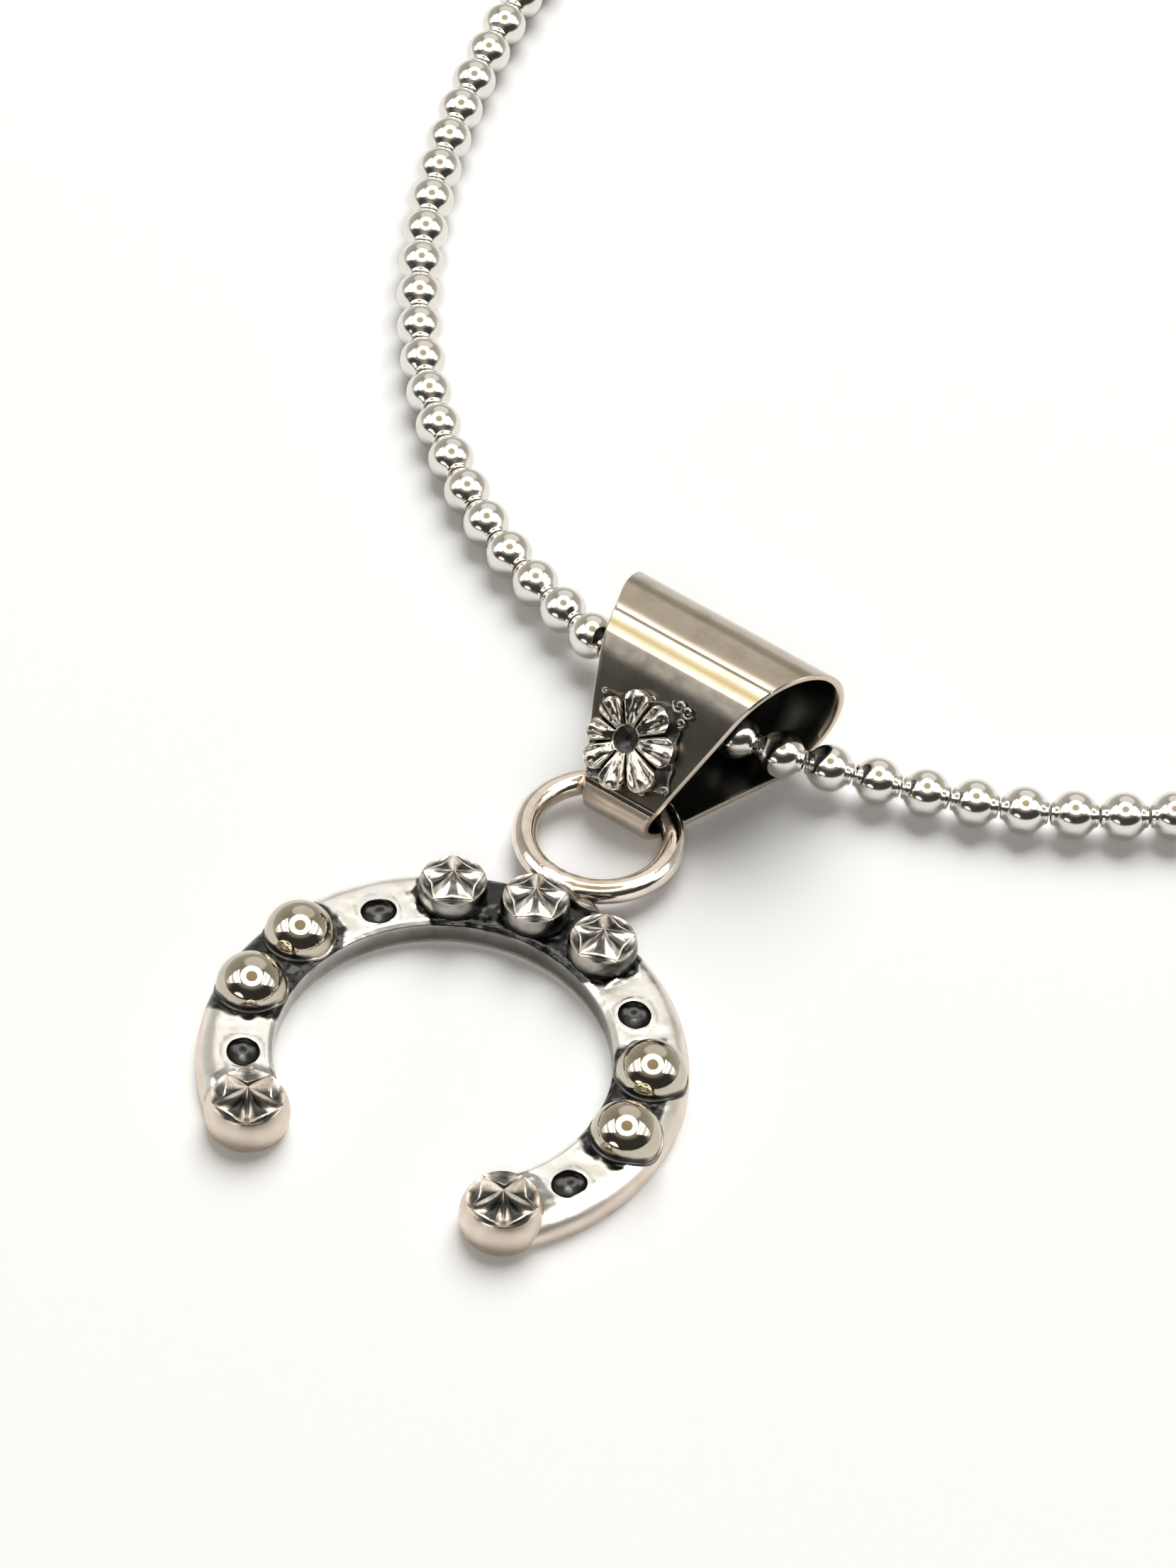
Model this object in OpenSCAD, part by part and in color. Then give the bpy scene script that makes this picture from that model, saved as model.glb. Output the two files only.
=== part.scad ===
// A silver naja on a short string of round beads, lying face up.
// All sizes are in millimetres. The origin is the middle of the crescent, on the surface that it
// lies on. +Y runs from the crescent's open side to its jump ring, and +Z points up.

/* [Crescent] */
// Radius of the middle line of the crescent's band
naja_r = 12.2; // [10:0.1:14]
// Width of the band
band_w = 4.5; // [4.2:0.1:4.8]
// Thickness of the band
band_t = 1.7; // [1.5:0.1:2]
// Radius that rounds the band's outer top edge
band_round = 1.3; // [0.6:0.1:1.4]
// Width of the bevel on the band's inner top edge
band_bevel = 0.3; // [0.1:0.05:0.4]
// Angle from the apex to the ball at each tip
tip_angle = 137.7; // [130:0.1:142]

/* [Plain balls and hollows] */
// Radius of the plain balls
ball_r = 2.1; // [1.9:0.05:2.2]
// Height of the plain balls' centres
ball_z = 1.65; // [1.4:0.05:2]
// Angle from the apex to the upper plain balls
ball_upper = 70.6; // [69:0.1:71]
// Angle from the apex to the lower plain balls
ball_lower = 94.1; // [93:0.1:96]
// Angle from the apex to the upper hollows
hollow_upper = 45.3; // [44:0.1:47]
// Angle from the apex to the lower hollows
hollow_lower = 116.2; // [115:0.1:118]
// Distance of the hollows from the crescent's middle
hollow_at = 11.75; // [11.6:0.05:11.9]
// Radius of a hollow at the band's face
hollow_r = 0.95; // [0.7:0.05:1.1]
// Radius of the punch that sinks the hollows
hollow_punch_r = 1.15; // [1.12:0.01:1.4]

/* [Star balls] */
// Angle from the middle star to the one on each side
star_angle = 23.8; // [22.5:0.1:25]
// Radius of the three star balls at the apex
star_ball_r = 2.1; // [1.9:0.05:2.2]
// Height of their centres
star_ball_z = 2.25; // [2:0.05:2.4]
// Radius of the balls that end the crescent
tip_ball_r = 2.5; // [2.3:0.05:2.6]
// Height of their centres
tip_ball_z = 0.95; // [0.8:0.05:1.2]
// Reach of a star's points, as a share of its ball's radius
star_reach = 0.8; // [0.7:0.01:0.85]
// Reach of the corners between the points, as a share of the points' reach
star_waist = 0.68; // [0.5:0.01:0.8]
// Height of a star above the flat that it stands on
star_h = 0.42; // [0.25:0.01:0.5]

/* [Jump ring] */
// Radius of the ring's middle line
ring_r = 4.5; // [4.3:0.1:4.7]
// Radius of the ring's wire
wire_r = 0.76; // [0.7:0.01:0.78]
// Distance of the ring's centre to the right of the apex
ring_x = 0.6; // [0.4:0.05:0.7]
// Space between the wire and the band, filled with solder
ring_gap = 0.2; // [0:0.05:0.3]
// Height of the ring's middle line
ring_z = 1.3; // [1.28:0.01:1.32]
// Radius of the solder between the ring and the band
solder_r = 1; // [0.8:0.05:1]

/* [Bail] */
// Thickness of the bail's sheet
sheet_t = 0.43; // [0.4:0.01:0.45]
// Outer radius of the tube that the string goes through
tube_r = 4.75; // [4.7:0.05:4.9]
// Outer radius of the narrow fold that holds the ring
fold_r = 1.41; // [1.4:0.01:1.44]
// Distance between the centres of the tube and the fold
bail_reach = 7.4; // [7.2:0.1:7.6]
// Half of the bail's width at the fold
fold_half_w = 2.65; // [2.4:0.05:2.7]
// Widening of each side edge from the fold to the tube, in degrees
bail_taper = 19.6; // [18:0.1:21]
// Lean of each side edge outwards with height, in degrees
bail_lean = 4.4; // [0:0.1:5]
// Turn of the bail about the vertical
bail_turn = -10.1; // [-12:0.1:-9]
// Place of the fold's middle, to the right of the crescent's middle
fold_x = 0.85; // [0.8:0.05:0.9]
// Place of the fold's middle, beyond the crescent's middle
fold_y = 23.2; // [23.15:0.05:23.25]

/* [Rosette] */
// Radius of the rosette across its petals
rosette_r = 2.7; // [2.4:0.05:2.8]
// Number of petals
petals = 8; // [6:1:8]
// Distance of the rosette's middle from the lower end of the bail's flat front
rosette_up = 3.35; // [3.2:0.05:3.5]
// Distance of the rosette's middle to the left of the bail's middle
rosette_left = 0.75; // [0.5:0.05:0.8]
// Thickness of the stamped plate under the petals
plate_t = 0.3; // [0.2:0.05:0.4]
// Radius of the open middle
eye_r = 0.62; // [0.5:0.02:0.7]

/* [String] */
// Radius of a bead
bead_r = 1.46; // [1.4:0.01:1.46]
// Distance between the centres of neighbouring beads, about
bead_pitch = 3.03; // [3.03:0.01:3.1]
// Radius of the hole through a bead
bead_bore_r = 0.5; // [0.45:0.01:0.6]
// Radius of the thread
thread_r = 0.28; // [0.2:0.01:0.3]
// Radius of the clasp's barrel
clasp_r = 1.5; // [1.3:0.05:1.5]
// Radius of the hole through the clasp
clasp_bore_r = 0.75; // [0.7:0.05:0.8]

/* [Hidden] */

silver = "silver";
dark_silver = "dimgray";

// Control points of the string's closed curve, right of the bail round to its left: x, y, z
STRING_ROUTE = [
    [4, 30.4, 2.35], [8, 30.2, 2.4], [13, 31.8, 1.5], [21, 33, 1.5], [30, 37, 1.5], [39, 43.5, 1.5],
    [51.5, 54.5, 1.5], [62.5, 69, 1.5], [70, 87.5, 1.5], [73, 108, 1.5], [71, 129, 1.5],
    [64, 148.5, 1.5], [51, 164, 1.5], [33.5, 174, 1.5], [13.5, 176.5, 1.5], [-5.5, 171, 1.5],
    [-21, 158, 1.5], [-30.5, 140, 1.5], [-35.5, 119, 1.5], [-37, 101.5, 1.5], [-37, 86, 1.5],
    [-35.5, 73.5, 1.5], [-32.5, 62.5, 1.5], [-27, 50.5, 1.5], [-18.5, 41, 1.5],
    [-11.5, 36.7, 1.5], [-7, 34.2, 2.2], [-3, 32.1, 2.45]
];
// Straight steps that stand for each stretch of the curve
route_steps = 16;
// Distance from the curve's start to the first bead
first_bead = 1.3;
// Number of the beads' places that the clasp takes
clasp_places = 3;
// Share of the loop, from the first control point, at which the clasp sits
clasp_share = 0.5;
// Sides of the thread's tube
thread_sides = 6;

// A point of the closed curve that the control points pull, and its place by distance
function blend(t, a, b, c, d) =
    (pow(1 - t, 3) * a + (3 * pow(t, 3) - 6 * t * t + 4) * b
     + (-3 * pow(t, 3) + 3 * t * t + 3 * t + 1) * c + pow(t, 3) * d) / 6;
function control(i) = STRING_ROUTE[(i + len(STRING_ROUTE)) % len(STRING_ROUTE)];
route = [for (i = [0 : len(STRING_ROUTE) - 1], k = [0 : route_steps - 1])
    blend(k / route_steps, control(i - 1), control(i), control(i + 1), control(i + 2))];
route_n = len(route);
reach = [for (i = 0, s = 0; i <= route_n;
    s = s + norm(route[(i + 1) % route_n] - route[i % route_n]), i = i + 1) s];
route_length = reach[route_n];
function wrapped(s) = s - route_length * floor(s / route_length);
function along(s) = [for (axis = [0 : 2])
    lookup(wrapped(s), [for (i = [0 : route_n]) [reach[i], route[i % route_n][axis]]])];
function heading(s) = along(s + 0.4) - along(s - 0.4);

places = round(route_length / bead_pitch);
pitch = route_length / places;
clasp_first = floor(places * clasp_share);
clasp_s = first_bead + (clasp_first + (clasp_places - 1) / 2) * pitch;
clasp_h = (clasp_places + 1) * pitch - 2 * bead_r - 0.3;

// A part drawn along Z is set at a distance along the string, in line with it
module on_string(s) {
    way = heading(s);
    flat = norm([way.x, way.y]);
    translate(along(s))
        rotate([0, 90 - atan2(way.z, flat), atan2(way.y, way.x)])
            children();
}

module around(angle) {
    rotate([0, 0, angle]) translate([0, naja_r, 0]) children();
}

module above_surface() {
    intersection() {
        children();
        translate([-60, -60, 0]) cube(120);
    }
}

// The band's section: flat below, upright inside with a bevel, and rounded outside
module band_section() {
    difference() {
        translate([-band_w / 2, 0]) square([band_w, band_t]);
        translate([band_w / 2 - band_round, band_t - band_round])
            difference() {
                square(band_round + 1);
                circle(band_round, $fn = 64);
            }
        translate([-band_w / 2, band_t]) rotate(45) square(band_bevel * sqrt(2), center = true);
    }
}

module band() {
    rotate([0, 0, 90 - tip_angle])
        rotate_extrude(angle = 2 * tip_angle, $fn = 144)
            translate([naja_r, 0]) band_section();
}

module hollow() {
    sink = sqrt(pow(hollow_punch_r, 2) - pow(hollow_r, 2));
    translate([0, hollow_at - naja_r, band_t + sink]) sphere(hollow_punch_r, $fn = 40);
}

// A five-pointed star with a ridge down each point
module star(reach_r) {
    corners = [for (i = [0 : 9])
        reach_r * (i % 2 == 0 ? 1 : star_waist) * [sin(36 * i), cos(36 * i)]];
    linear_extrude(height = star_h, scale = 0.1) polygon(corners);
}

// A ball whose top is punched flat round a raised star
module star_ball(r, z, turn) {
    reach_r = r * star_reach;
    flat_z = sqrt(r * r - reach_r * reach_r);
    translate([0, 0, z]) {
        difference() {
            sphere(r, $fn = 72);
            translate([-r, -r, flat_z]) cube(2 * r);
        }
        translate([0, 0, flat_z - 0.02]) rotate([0, 0, turn]) star(reach_r * 0.97);
    }
}

module balls() {
    above_surface()
        for (side = [-1, 1], angle = [ball_upper, ball_lower])
            around(side * angle) translate([0, 0, ball_z]) sphere(ball_r, $fn = 72);
    for (side = [-1 : 1])
        around(-side * star_angle) star_ball(star_ball_r, star_ball_z, 0);
    above_surface()
        for (side = [-1, 1])
            around(side * tip_angle) star_ball(tip_ball_r, tip_ball_z, 36);
}

module jump_ring() {
    ring_y = naja_r + band_w / 2 + ring_gap + wire_r + ring_r;
    translate([ring_x, ring_y, ring_z])
        rotate_extrude($fn = 96) translate([ring_r, 0]) circle(wire_r, $fn = 40);
    translate([ring_x, naja_r + band_w / 2, ring_z - 0.2]) sphere(solder_r, $fn = 40);
}

// Crescent, balls and ring, soldered into one piece
module naja() {
    color(silver) {
        difference() {
            band();
            for (side = [-1, 1], angle = [hollow_upper, hollow_lower])
                around(side * angle) hollow();
        }
        balls();
        jump_ring();
    }
}

// The bail's own axes: X from the fold to the tube, Z up, and Y to the left
module in_bail_frame() {
    translate([fold_x, fold_y, 0]) rotate([0, 0, 90 + bail_turn]) children();
}

bail_slope = 2 * atan2(tube_r - fold_r, bail_reach);

// The strip seen from its side, a drop with a large and a small round end
module bail_drop(inset) {
    big = tube_r - inset;
    small = fold_r - inset;
    over = [-sin(bail_slope), cos(bail_slope)];
    translate([bail_reach, tube_r]) circle(big, $fn = 96);
    translate([0, fold_r]) circle(small, $fn = 48);
    polygon([[0, inset], [bail_reach, inset], [bail_reach, tube_r] + big * over,
             [0, fold_r] + small * over]);
}

module bail_strip() {
    difference() {
        translate([0, 12, 0]) rotate([90, 0, 0])
            linear_extrude(24)
                difference() {
                    bail_drop(0);
                    bail_drop(sheet_t);
                }
        for (side = [0, 1])
            mirror([0, side, 0])
                translate([0, fold_half_w, 0]) rotate([-bail_lean, 0, bail_taper])
                    translate([-10, 0, -5]) cube([40, 20, 30]);
    }
}

// A petal is a ball that narrows towards the rosette's middle
module petal() {
    round_r = rosette_r * 0.3;
    mid = rosette_r - round_r;
    translate([mid, 0, plate_t]) sphere(round_r, $fn = 32);
    translate([eye_r, 0, plate_t]) rotate([0, 90, 0])
        cylinder(h = mid - eye_r, r1 = round_r * 0.42, r2 = round_r * 0.9, $fn = 32);
}

// Drawn flat on the bail's front, with X up the front and its back just in the sheet
module rosette() {
    plate = 2 * rosette_r;
    bite = 0.1;
    difference() {
        union() {
            translate([-plate / 2, -plate / 2, -bite]) cube([plate, plate, plate_t + bite]);
            intersection() {
                for (i = [0 : petals - 1])
                    rotate([0, 0, 360 * i / petals]) petal();
                translate([-plate, -plate, -bite]) cube(2 * plate);
            }
        }
        translate([0, 0, plate_t - 0.15]) cylinder(h = 3, r = eye_r, $fn = 32);
        for (side = [-1, 1])
            translate([-plate / 2, side * plate / 2, 0])
                rotate([0, 0, 45]) cube([1.6, 1.6, 3], center = true);
    }
}

// Folded sheet and stamped rosette, soldered into one piece
module bail() {
    in_bail_frame() {
        color(silver) bail_strip();
        color(dark_silver)
            translate([-fold_r * sin(bail_slope), rosette_left, fold_r + fold_r * cos(bail_slope)])
                rotate([0, -bail_slope, 0]) translate([rosette_up, 0, 0]) rosette();
    }
}

module bead() {
    difference() {
        sphere(bead_r, $fn = 48);
        cylinder(h = 3 * bead_r, r = bead_bore_r, center = true, $fn = 24);
    }
}

module bead_string() {
    color(silver)
        for (i = [0 : places - 1])
            if (i < clasp_first || i >= clasp_first + clasp_places)
                on_string(first_bead + i * pitch) bead();
}

// One closed tube with a ring of points in every gap between two beads
module thread() {
    rings = [for (i = [0 : places - 1])
        let (s = first_bead + (i + 0.5) * pitch, way = heading(s),
             out = cross([0, 0, 1], way), up = cross(way, out))
        [for (k = [0 : thread_sides - 1])
            along(s) + thread_r * (cos(360 * k / thread_sides) * out / norm(out)
                                   + sin(360 * k / thread_sides) * up / norm(up))]];
    points = [for (ring = rings, point = ring) point];
    faces = [for (i = [0 : places - 1], k = [0 : thread_sides - 1])
        let (a = i * thread_sides, b = ((i + 1) % places) * thread_sides, n = (k + 1) % thread_sides)
        [a + k, b + k, b + n, a + n]];
    color("white") polyhedron(points, faces);
}

// A plain barrel that closes the string opposite the bail
module clasp() {
    color(silver)
        on_string(clasp_s)
            difference() {
                union() {
                    cylinder(h = clasp_h, r = clasp_r * 0.7, center = true, $fn = 48);
                    cylinder(h = clasp_h - 1.6, r = clasp_r, center = true, $fn = 48);
                }
                cylinder(h = clasp_h + 1, r = clasp_bore_r, center = true, $fn = 24);
            }
}

naja();
bail();
bead_string();
thread();
clasp();
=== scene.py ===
import math
from bisect import bisect_right

import bmesh
import bpy
from mathutils import Matrix, Vector, noise


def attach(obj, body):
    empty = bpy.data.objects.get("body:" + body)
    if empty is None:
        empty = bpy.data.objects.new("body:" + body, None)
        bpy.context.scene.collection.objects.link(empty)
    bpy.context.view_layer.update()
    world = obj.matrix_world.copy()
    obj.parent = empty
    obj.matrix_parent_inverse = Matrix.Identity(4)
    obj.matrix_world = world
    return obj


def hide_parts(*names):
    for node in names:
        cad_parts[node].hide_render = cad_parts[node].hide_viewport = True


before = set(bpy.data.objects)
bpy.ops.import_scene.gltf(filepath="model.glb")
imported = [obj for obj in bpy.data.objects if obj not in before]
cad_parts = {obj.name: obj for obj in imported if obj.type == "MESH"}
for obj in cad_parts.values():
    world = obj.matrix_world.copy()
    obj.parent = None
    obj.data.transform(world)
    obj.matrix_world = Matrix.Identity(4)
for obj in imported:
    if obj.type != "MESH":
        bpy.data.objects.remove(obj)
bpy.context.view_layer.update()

# Camera. It looks down at 47 degrees from in front of the crescent and a little to its right,
# slightly rolled, with a long lens. Azimuth, elevation, roll, distance and focal length were
# fitted to the beads, balls and ring.
mm = 0.001
VIEW_AZIMUTH = math.radians(22.193)
VIEW_ELEVATION = math.radians(46.951)
VIEW_ROLL = math.radians(4.493)
VIEW_TARGET = Vector((-2.287, 24.589, 0.0))
VIEW_DISTANCE = 444.64
FOCAL_PIXELS = 10332.86
PHOTO_HEIGHT = 2212

toward_camera = Vector((math.sin(VIEW_AZIMUTH) * math.cos(VIEW_ELEVATION),
                        -math.cos(VIEW_AZIMUTH) * math.cos(VIEW_ELEVATION),
                        math.sin(VIEW_ELEVATION)))
level_right = Vector((math.cos(VIEW_AZIMUTH), math.sin(VIEW_AZIMUTH), 0.0))
level_up = toward_camera.cross(level_right)
frame_right = math.cos(VIEW_ROLL) * level_right + math.sin(VIEW_ROLL) * level_up
frame_up = toward_camera.cross(frame_right)

camera_data = bpy.data.cameras.new("camera")
camera_data.sensor_width = 36.0
camera_data.lens = FOCAL_PIXELS * camera_data.sensor_width / PHOTO_HEIGHT
camera_data.clip_start = 0.01
camera_data.clip_end = 50.0
camera = bpy.data.objects.new("camera", camera_data)
camera.matrix_world = Matrix.Translation((VIEW_TARGET + toward_camera * VIEW_DISTANCE) * mm) @ Matrix(
    (frame_right, frame_up, toward_camera)).transposed().to_4x4()
bpy.context.scene.collection.objects.link(camera)
bpy.context.scene.camera = camera

# Table and light. The pendant lies on a plain white table in a light tent: a ring lamp nearly
# overhead, soft strips on each side of it, pale walls, and the dark open front. The tent is the
# world's light, so that its lamps show in the polished metal.
TABLE_HALF = 3.0
TABLE_TOP = -0.01
TABLE_WHITE = (0.80, 0.797, 0.787, 1.0)
BACKDROP = (0.97, 0.965, 0.955, 1.0)
FILL_LIGHT = (0.075, 0.064, 0.045, 1.0)
BOX_AWAY = 2.5
SOFT_BOXES = (
    # name, degrees from straight up, degrees round from +X, half its width in degrees, watts
    ("back_box", 41.0, 104.0, 24.0, 97.0),
    ("front_box", 43.0, 292.0, 9.0, 15.0),
)
# The lamps' places and sizes are slopes: how far a ray goes sideways for each unit that it rises.
LAMP_CENTRE = (0.017, 0.17)
LAMP_INNER, LAMP_OUTER, LAMP_SOFT = 0.335, 0.70, 0.03
LAMP_POWER = 3.1
STRIP_FRONT, STRIP_BACK, STRIP_SOFT = -0.38, 0.62, 0.04
STRIP_POWER = 5.0
STRIP_REACH = 8.0
STRIP_PROFILE = (
    # slope across, brightness
    (0.76, 0.0), (0.79, 1.0), (0.90, 1.0), (0.93, 0.1), (1.02, 0.1), (1.06, 0.8), (1.45, 0.8), (1.5, 0.15),
    (1.95, 0.15), (2.1, 0.45), (3.1, 0.45), (3.3, 0.1), (4.2, 0.2), (6.5, 0.15), (7.5, 0.0),
)
WALL_COLOURS = (
    # how far up, from 0 at the table to 1 overhead, and the colour there
    (0.0, (0.66, 0.64, 0.60, 1.0)),
    (0.3, (0.50, 0.475, 0.42, 1.0)),
    (0.8, (0.36, 0.335, 0.28, 1.0)),
    (1.0, (0.60, 0.49, 0.30, 1.0)),
)
OPENING_COLOUR = (0.05, 0.051, 0.045, 1.0)
WINDOW_TURN, WINDOW_POWER = -35.0, 2.4
WINDOW_LOW, WINDOW_HIGH, WINDOW_SOFT = 0.115, 0.325, 0.015
GLOW_TILT, GLOW_TURN, GLOW_POWER = 44.0, 104.0, 0.50
# Where each of these starts and is whole, by how nearly a ray points its way or by the ray's slope.
HORIZON = (0.02, 0.08)
WINDOW_EDGE, GLOW_EDGE = (0.95, 0.965), (0.86, 0.93)
OPENING_SIDES, OPENING_TOP = (-0.15, 0.45), (1.05, 0.6)


def add_node(tree, kind, inputs=None, **settings):
    """A new node; inputs holds a value or a socket for each input's name or number."""
    node = tree.nodes.new(kind)
    for key, value in settings.items():
        setattr(node, key, value)
    for key, value in (inputs or {}).items():
        if isinstance(value, bpy.types.NodeSocket):
            tree.links.new(value, node.inputs[key])
        else:
            node.inputs[key].default_value = value
    return node


def reckon(tree, operation, a, b=0.0, clamp=False):
    return add_node(tree, "ShaderNodeMath", {0: a, 1: b}, operation=operation,
                    use_clamp=clamp).outputs[0]


def times(tree, a, b):
    return reckon(tree, "MULTIPLY", a, b)


def length_of(tree, a, b):
    """The length of a slanted line that goes a one way and b the other."""
    return reckon(tree, "SQRT", reckon(tree, "ADD", times(tree, a, a), times(tree, b, b)))


def dot_of(tree, direction, axis):
    return add_node(tree, "ShaderNodeVectorMath", {0: direction, 1: axis},
                    operation="DOT_PRODUCT").outputs["Value"]


def fade(tree, value, start, end):
    """0 before start, 1 after end, and a smooth step between them."""
    return add_node(tree, "ShaderNodeMapRange", {"Value": value, "From Min": start, "From Max": end},
                    interpolation_type="SMOOTHSTEP").outputs[0]


def between(tree, value, start, end, soft):
    """1 from start to end and 0 elsewhere, with a soft edge at each."""
    begun = fade(tree, value, start - soft, start + soft)
    return times(tree, begun, fade(tree, value, end + soft, end - soft))


def mixed(tree, share, first, second, **settings):
    """The first colour where share is 0, and the second where it is 1."""
    return add_node(tree, "ShaderNodeMix", {0: share, 6: first, 7: second}, data_type="RGBA",
                    **settings).outputs[2]


def colour_ramp(tree, value, stops):
    """The colour for a value, from stops of position and colour."""
    node = add_node(tree, "ShaderNodeValToRGB", {0: value})
    elements = node.color_ramp.elements
    for element, (position, colour) in zip(elements, (stops[0], stops[-1])):
        element.position = position
        element.color = colour
    for position, colour in stops[1:-1]:
        elements.new(position).color = colour
    return node.outputs[0]


def way_to(tilt, turn):
    """The way to a place so many degrees from straight up, and so many round from +X."""
    tilt, turn = math.radians(tilt), math.radians(turn)
    return Vector((math.sin(tilt) * math.cos(turn), math.sin(tilt) * math.sin(turn), math.cos(tilt)))


def light_tent():
    world = bpy.data.worlds.new("light_tent")
    world.use_nodes = True
    tree = world.node_tree
    tree.nodes.clear()
    ray = add_node(tree, "ShaderNodeTexCoord").outputs["Generated"]
    toward_front = Vector((toward_camera.x, toward_camera.y, 0.0)).normalized()
    front = dot_of(tree, ray, toward_front)
    side = dot_of(tree, ray, level_right)
    rise = dot_of(tree, ray, (0.0, 0.0, 1.0))
    level = reckon(tree, "MAXIMUM", length_of(tree, front, side), 0.001)
    slope = reckon(tree, "DIVIDE", rise, level)

    roof = reckon(tree, "MAXIMUM", rise, 0.05)
    across = reckon(tree, "DIVIDE", side, roof)
    deep = reckon(tree, "DIVIDE", front, roof)
    from_lamp = length_of(tree, reckon(tree, "SUBTRACT", across, LAMP_CENTRE[0]),
                          reckon(tree, "SUBTRACT", deep, LAMP_CENTRE[1]))
    ring = times(tree, between(tree, from_lamp, LAMP_INNER, LAMP_OUTER, LAMP_SOFT), LAMP_POWER)
    dark = (0.0, 0.0, 0.0, 1.0)
    stripes = [(place / STRIP_REACH, (share, share, share, 1.0)) for place, share in STRIP_PROFILE]
    strips = colour_ramp(tree, reckon(tree, "DIVIDE", reckon(tree, "ABSOLUTE", across), STRIP_REACH),
                         [(0.0, dark)] + stripes + [(1.0, dark)])
    strips = times(tree, strips, between(tree, deep, STRIP_FRONT, STRIP_BACK, STRIP_SOFT))
    lamps = reckon(tree, "ADD", ring, times(tree, strips, STRIP_POWER))
    lamps = times(tree, lamps, fade(tree, rise, *HORIZON))

    window_way = Matrix.Rotation(math.radians(WINDOW_TURN), 3, "Z") @ toward_front
    window = times(tree, fade(tree, dot_of(tree, ray, window_way), *WINDOW_EDGE),
                   between(tree, slope, WINDOW_LOW, WINDOW_HIGH, WINDOW_SOFT))
    lamps = reckon(tree, "ADD", lamps, times(tree, window, WINDOW_POWER))
    glow = fade(tree, dot_of(tree, ray, way_to(GLOW_TILT, GLOW_TURN)), *GLOW_EDGE)
    lamps = reckon(tree, "ADD", lamps, times(tree, glow, GLOW_POWER))

    opening = times(tree, fade(tree, reckon(tree, "DIVIDE", front, level), *OPENING_SIDES),
                    fade(tree, slope, *OPENING_TOP))
    walls = mixed(tree, opening, colour_ramp(tree, rise, WALL_COLOURS), OPENING_COLOUR)
    tent = mixed(tree, 1.0, walls, lamps, blend_type="ADD")
    path = add_node(tree, "ShaderNodeLightPath").outputs
    lit = mixed(tree, path["Is Glossy Ray"], FILL_LIGHT, tent)
    seen = mixed(tree, path["Is Camera Ray"], lit, BACKDROP)
    back = add_node(tree, "ShaderNodeBackground", {"Color": seen})
    add_node(tree, "ShaderNodeOutputWorld", {"Surface": back.outputs[0]})
    world.cycles.sampling_method = "NONE"
    bpy.context.scene.world = world
    bpy.context.scene.view_settings.view_transform = "Standard"


def table():
    mesh = bpy.data.meshes.new("table")
    corners = [(-1, -1), (1, -1), (1, 1), (-1, 1)]
    mesh.from_pydata([(x * TABLE_HALF, y * TABLE_HALF, TABLE_TOP * mm) for x, y in corners], [],
                     [(0, 1, 2, 3)])
    material = bpy.data.materials.new("table_white")
    material.use_nodes = True
    shader = material.node_tree.nodes["Principled BSDF"]
    shader.inputs["Base Color"].default_value = TABLE_WHITE
    shader.inputs["Roughness"].default_value = 0.7
    mesh.materials.append(material)
    top = bpy.data.objects.new("table", mesh)
    bpy.context.scene.collection.objects.link(top)


def soft_boxes():
    """The lamps that light the table and throw the soft shadows. In the metal the tent stands for them."""
    for name, tilt, turn, half, watts in SOFT_BOXES:
        way = way_to(tilt, turn)
        data = bpy.data.lights.new(name, "AREA")
        data.shape = "DISK"
        data.size = 2 * BOX_AWAY * math.tan(math.radians(half))
        data.energy = watts
        box = bpy.data.objects.new(name, data)
        box.location = BOX_AWAY * way
        box.rotation_euler = way.to_track_quat("Z", "Y").to_euler()
        box.visible_glossy = False
        box.visible_camera = False
        bpy.context.scene.collection.objects.link(box)


light_tent()
table()
soft_boxes()

# Crescent. A cast band of silver, flat below, with an upright inner wall under a small bevel and an
# outer edge filed round. Four hollows are sunk with a round punch. The metal is satin, and black
# where the solder ran between the balls and where the polishing wheel didn't reach.
CRESCENT_R = 12.2
TIP_ANGLE = 137.7
BAND_W, BAND_T = 4.5, 1.7
BAND_ROUND, BAND_BEVEL = 1.3, 0.3
INNER_WALL = (0.0, 0.35, 0.7, 1.05, 1.32)
COLUMN_STEP = 0.56
HOLLOWS = (
    # angle to the left of the apex, radius of its place
    (-117.9, 12.30), (-48.6, 11.60), (46.1, 11.36), (118.9, 11.70),
)
HOLLOW_R, HOLLOW_DEPTH, HOLLOW_STRETCH = 0.98, 0.62, 1.12
# Faces in the band's section: on its bevel, on its top to each side of the hollows, and on its round.
BEVEL_FACES, INNER_FACES, OUTER_FACES, ROUND_FACES = 4, 13, 12, 12
# The grid's row at this radius is drawn to the hollows' middles, and the cells round them are bent
# to a circle and eased back to the grid.
HOLLOW_ROW = 11.75
HOLLOW_CELLS, EASE_CELLS = 8, 4
# A raised lip stands round each hollow, and a grey ring round the lip: place, width, strength.
LIP = (1.13, 0.11, 0.05)
GREY_RING = (1.36, 0.07, 0.45)
PLAIN_ANGLES = (70.6, 94.1)
STAR_ANGLE = 23.8
BALL_R, TIP_BALL_R = 2.1, 2.5
FEET = (
    # angles of the balls, radius, how far the soot spreads from the foot, how black it is
    ((STAR_ANGLE,), BALL_R, 0.5, 1.0),
    (PLAIN_ANGLES, BALL_R, 0.85, 1.0),
    ((TIP_ANGLE,), TIP_BALL_R, 0.7, 0.42),
)
SILVER = (0.95, 0.93, 0.90, 1.0)
# Black of oxide and solder, also used as painted shade on the petals, the rosette's eye, the star rims and
# the jump ring.
SOOT_AND_SHADE = (0.052, 0.052, 0.050, 1.0)
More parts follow.
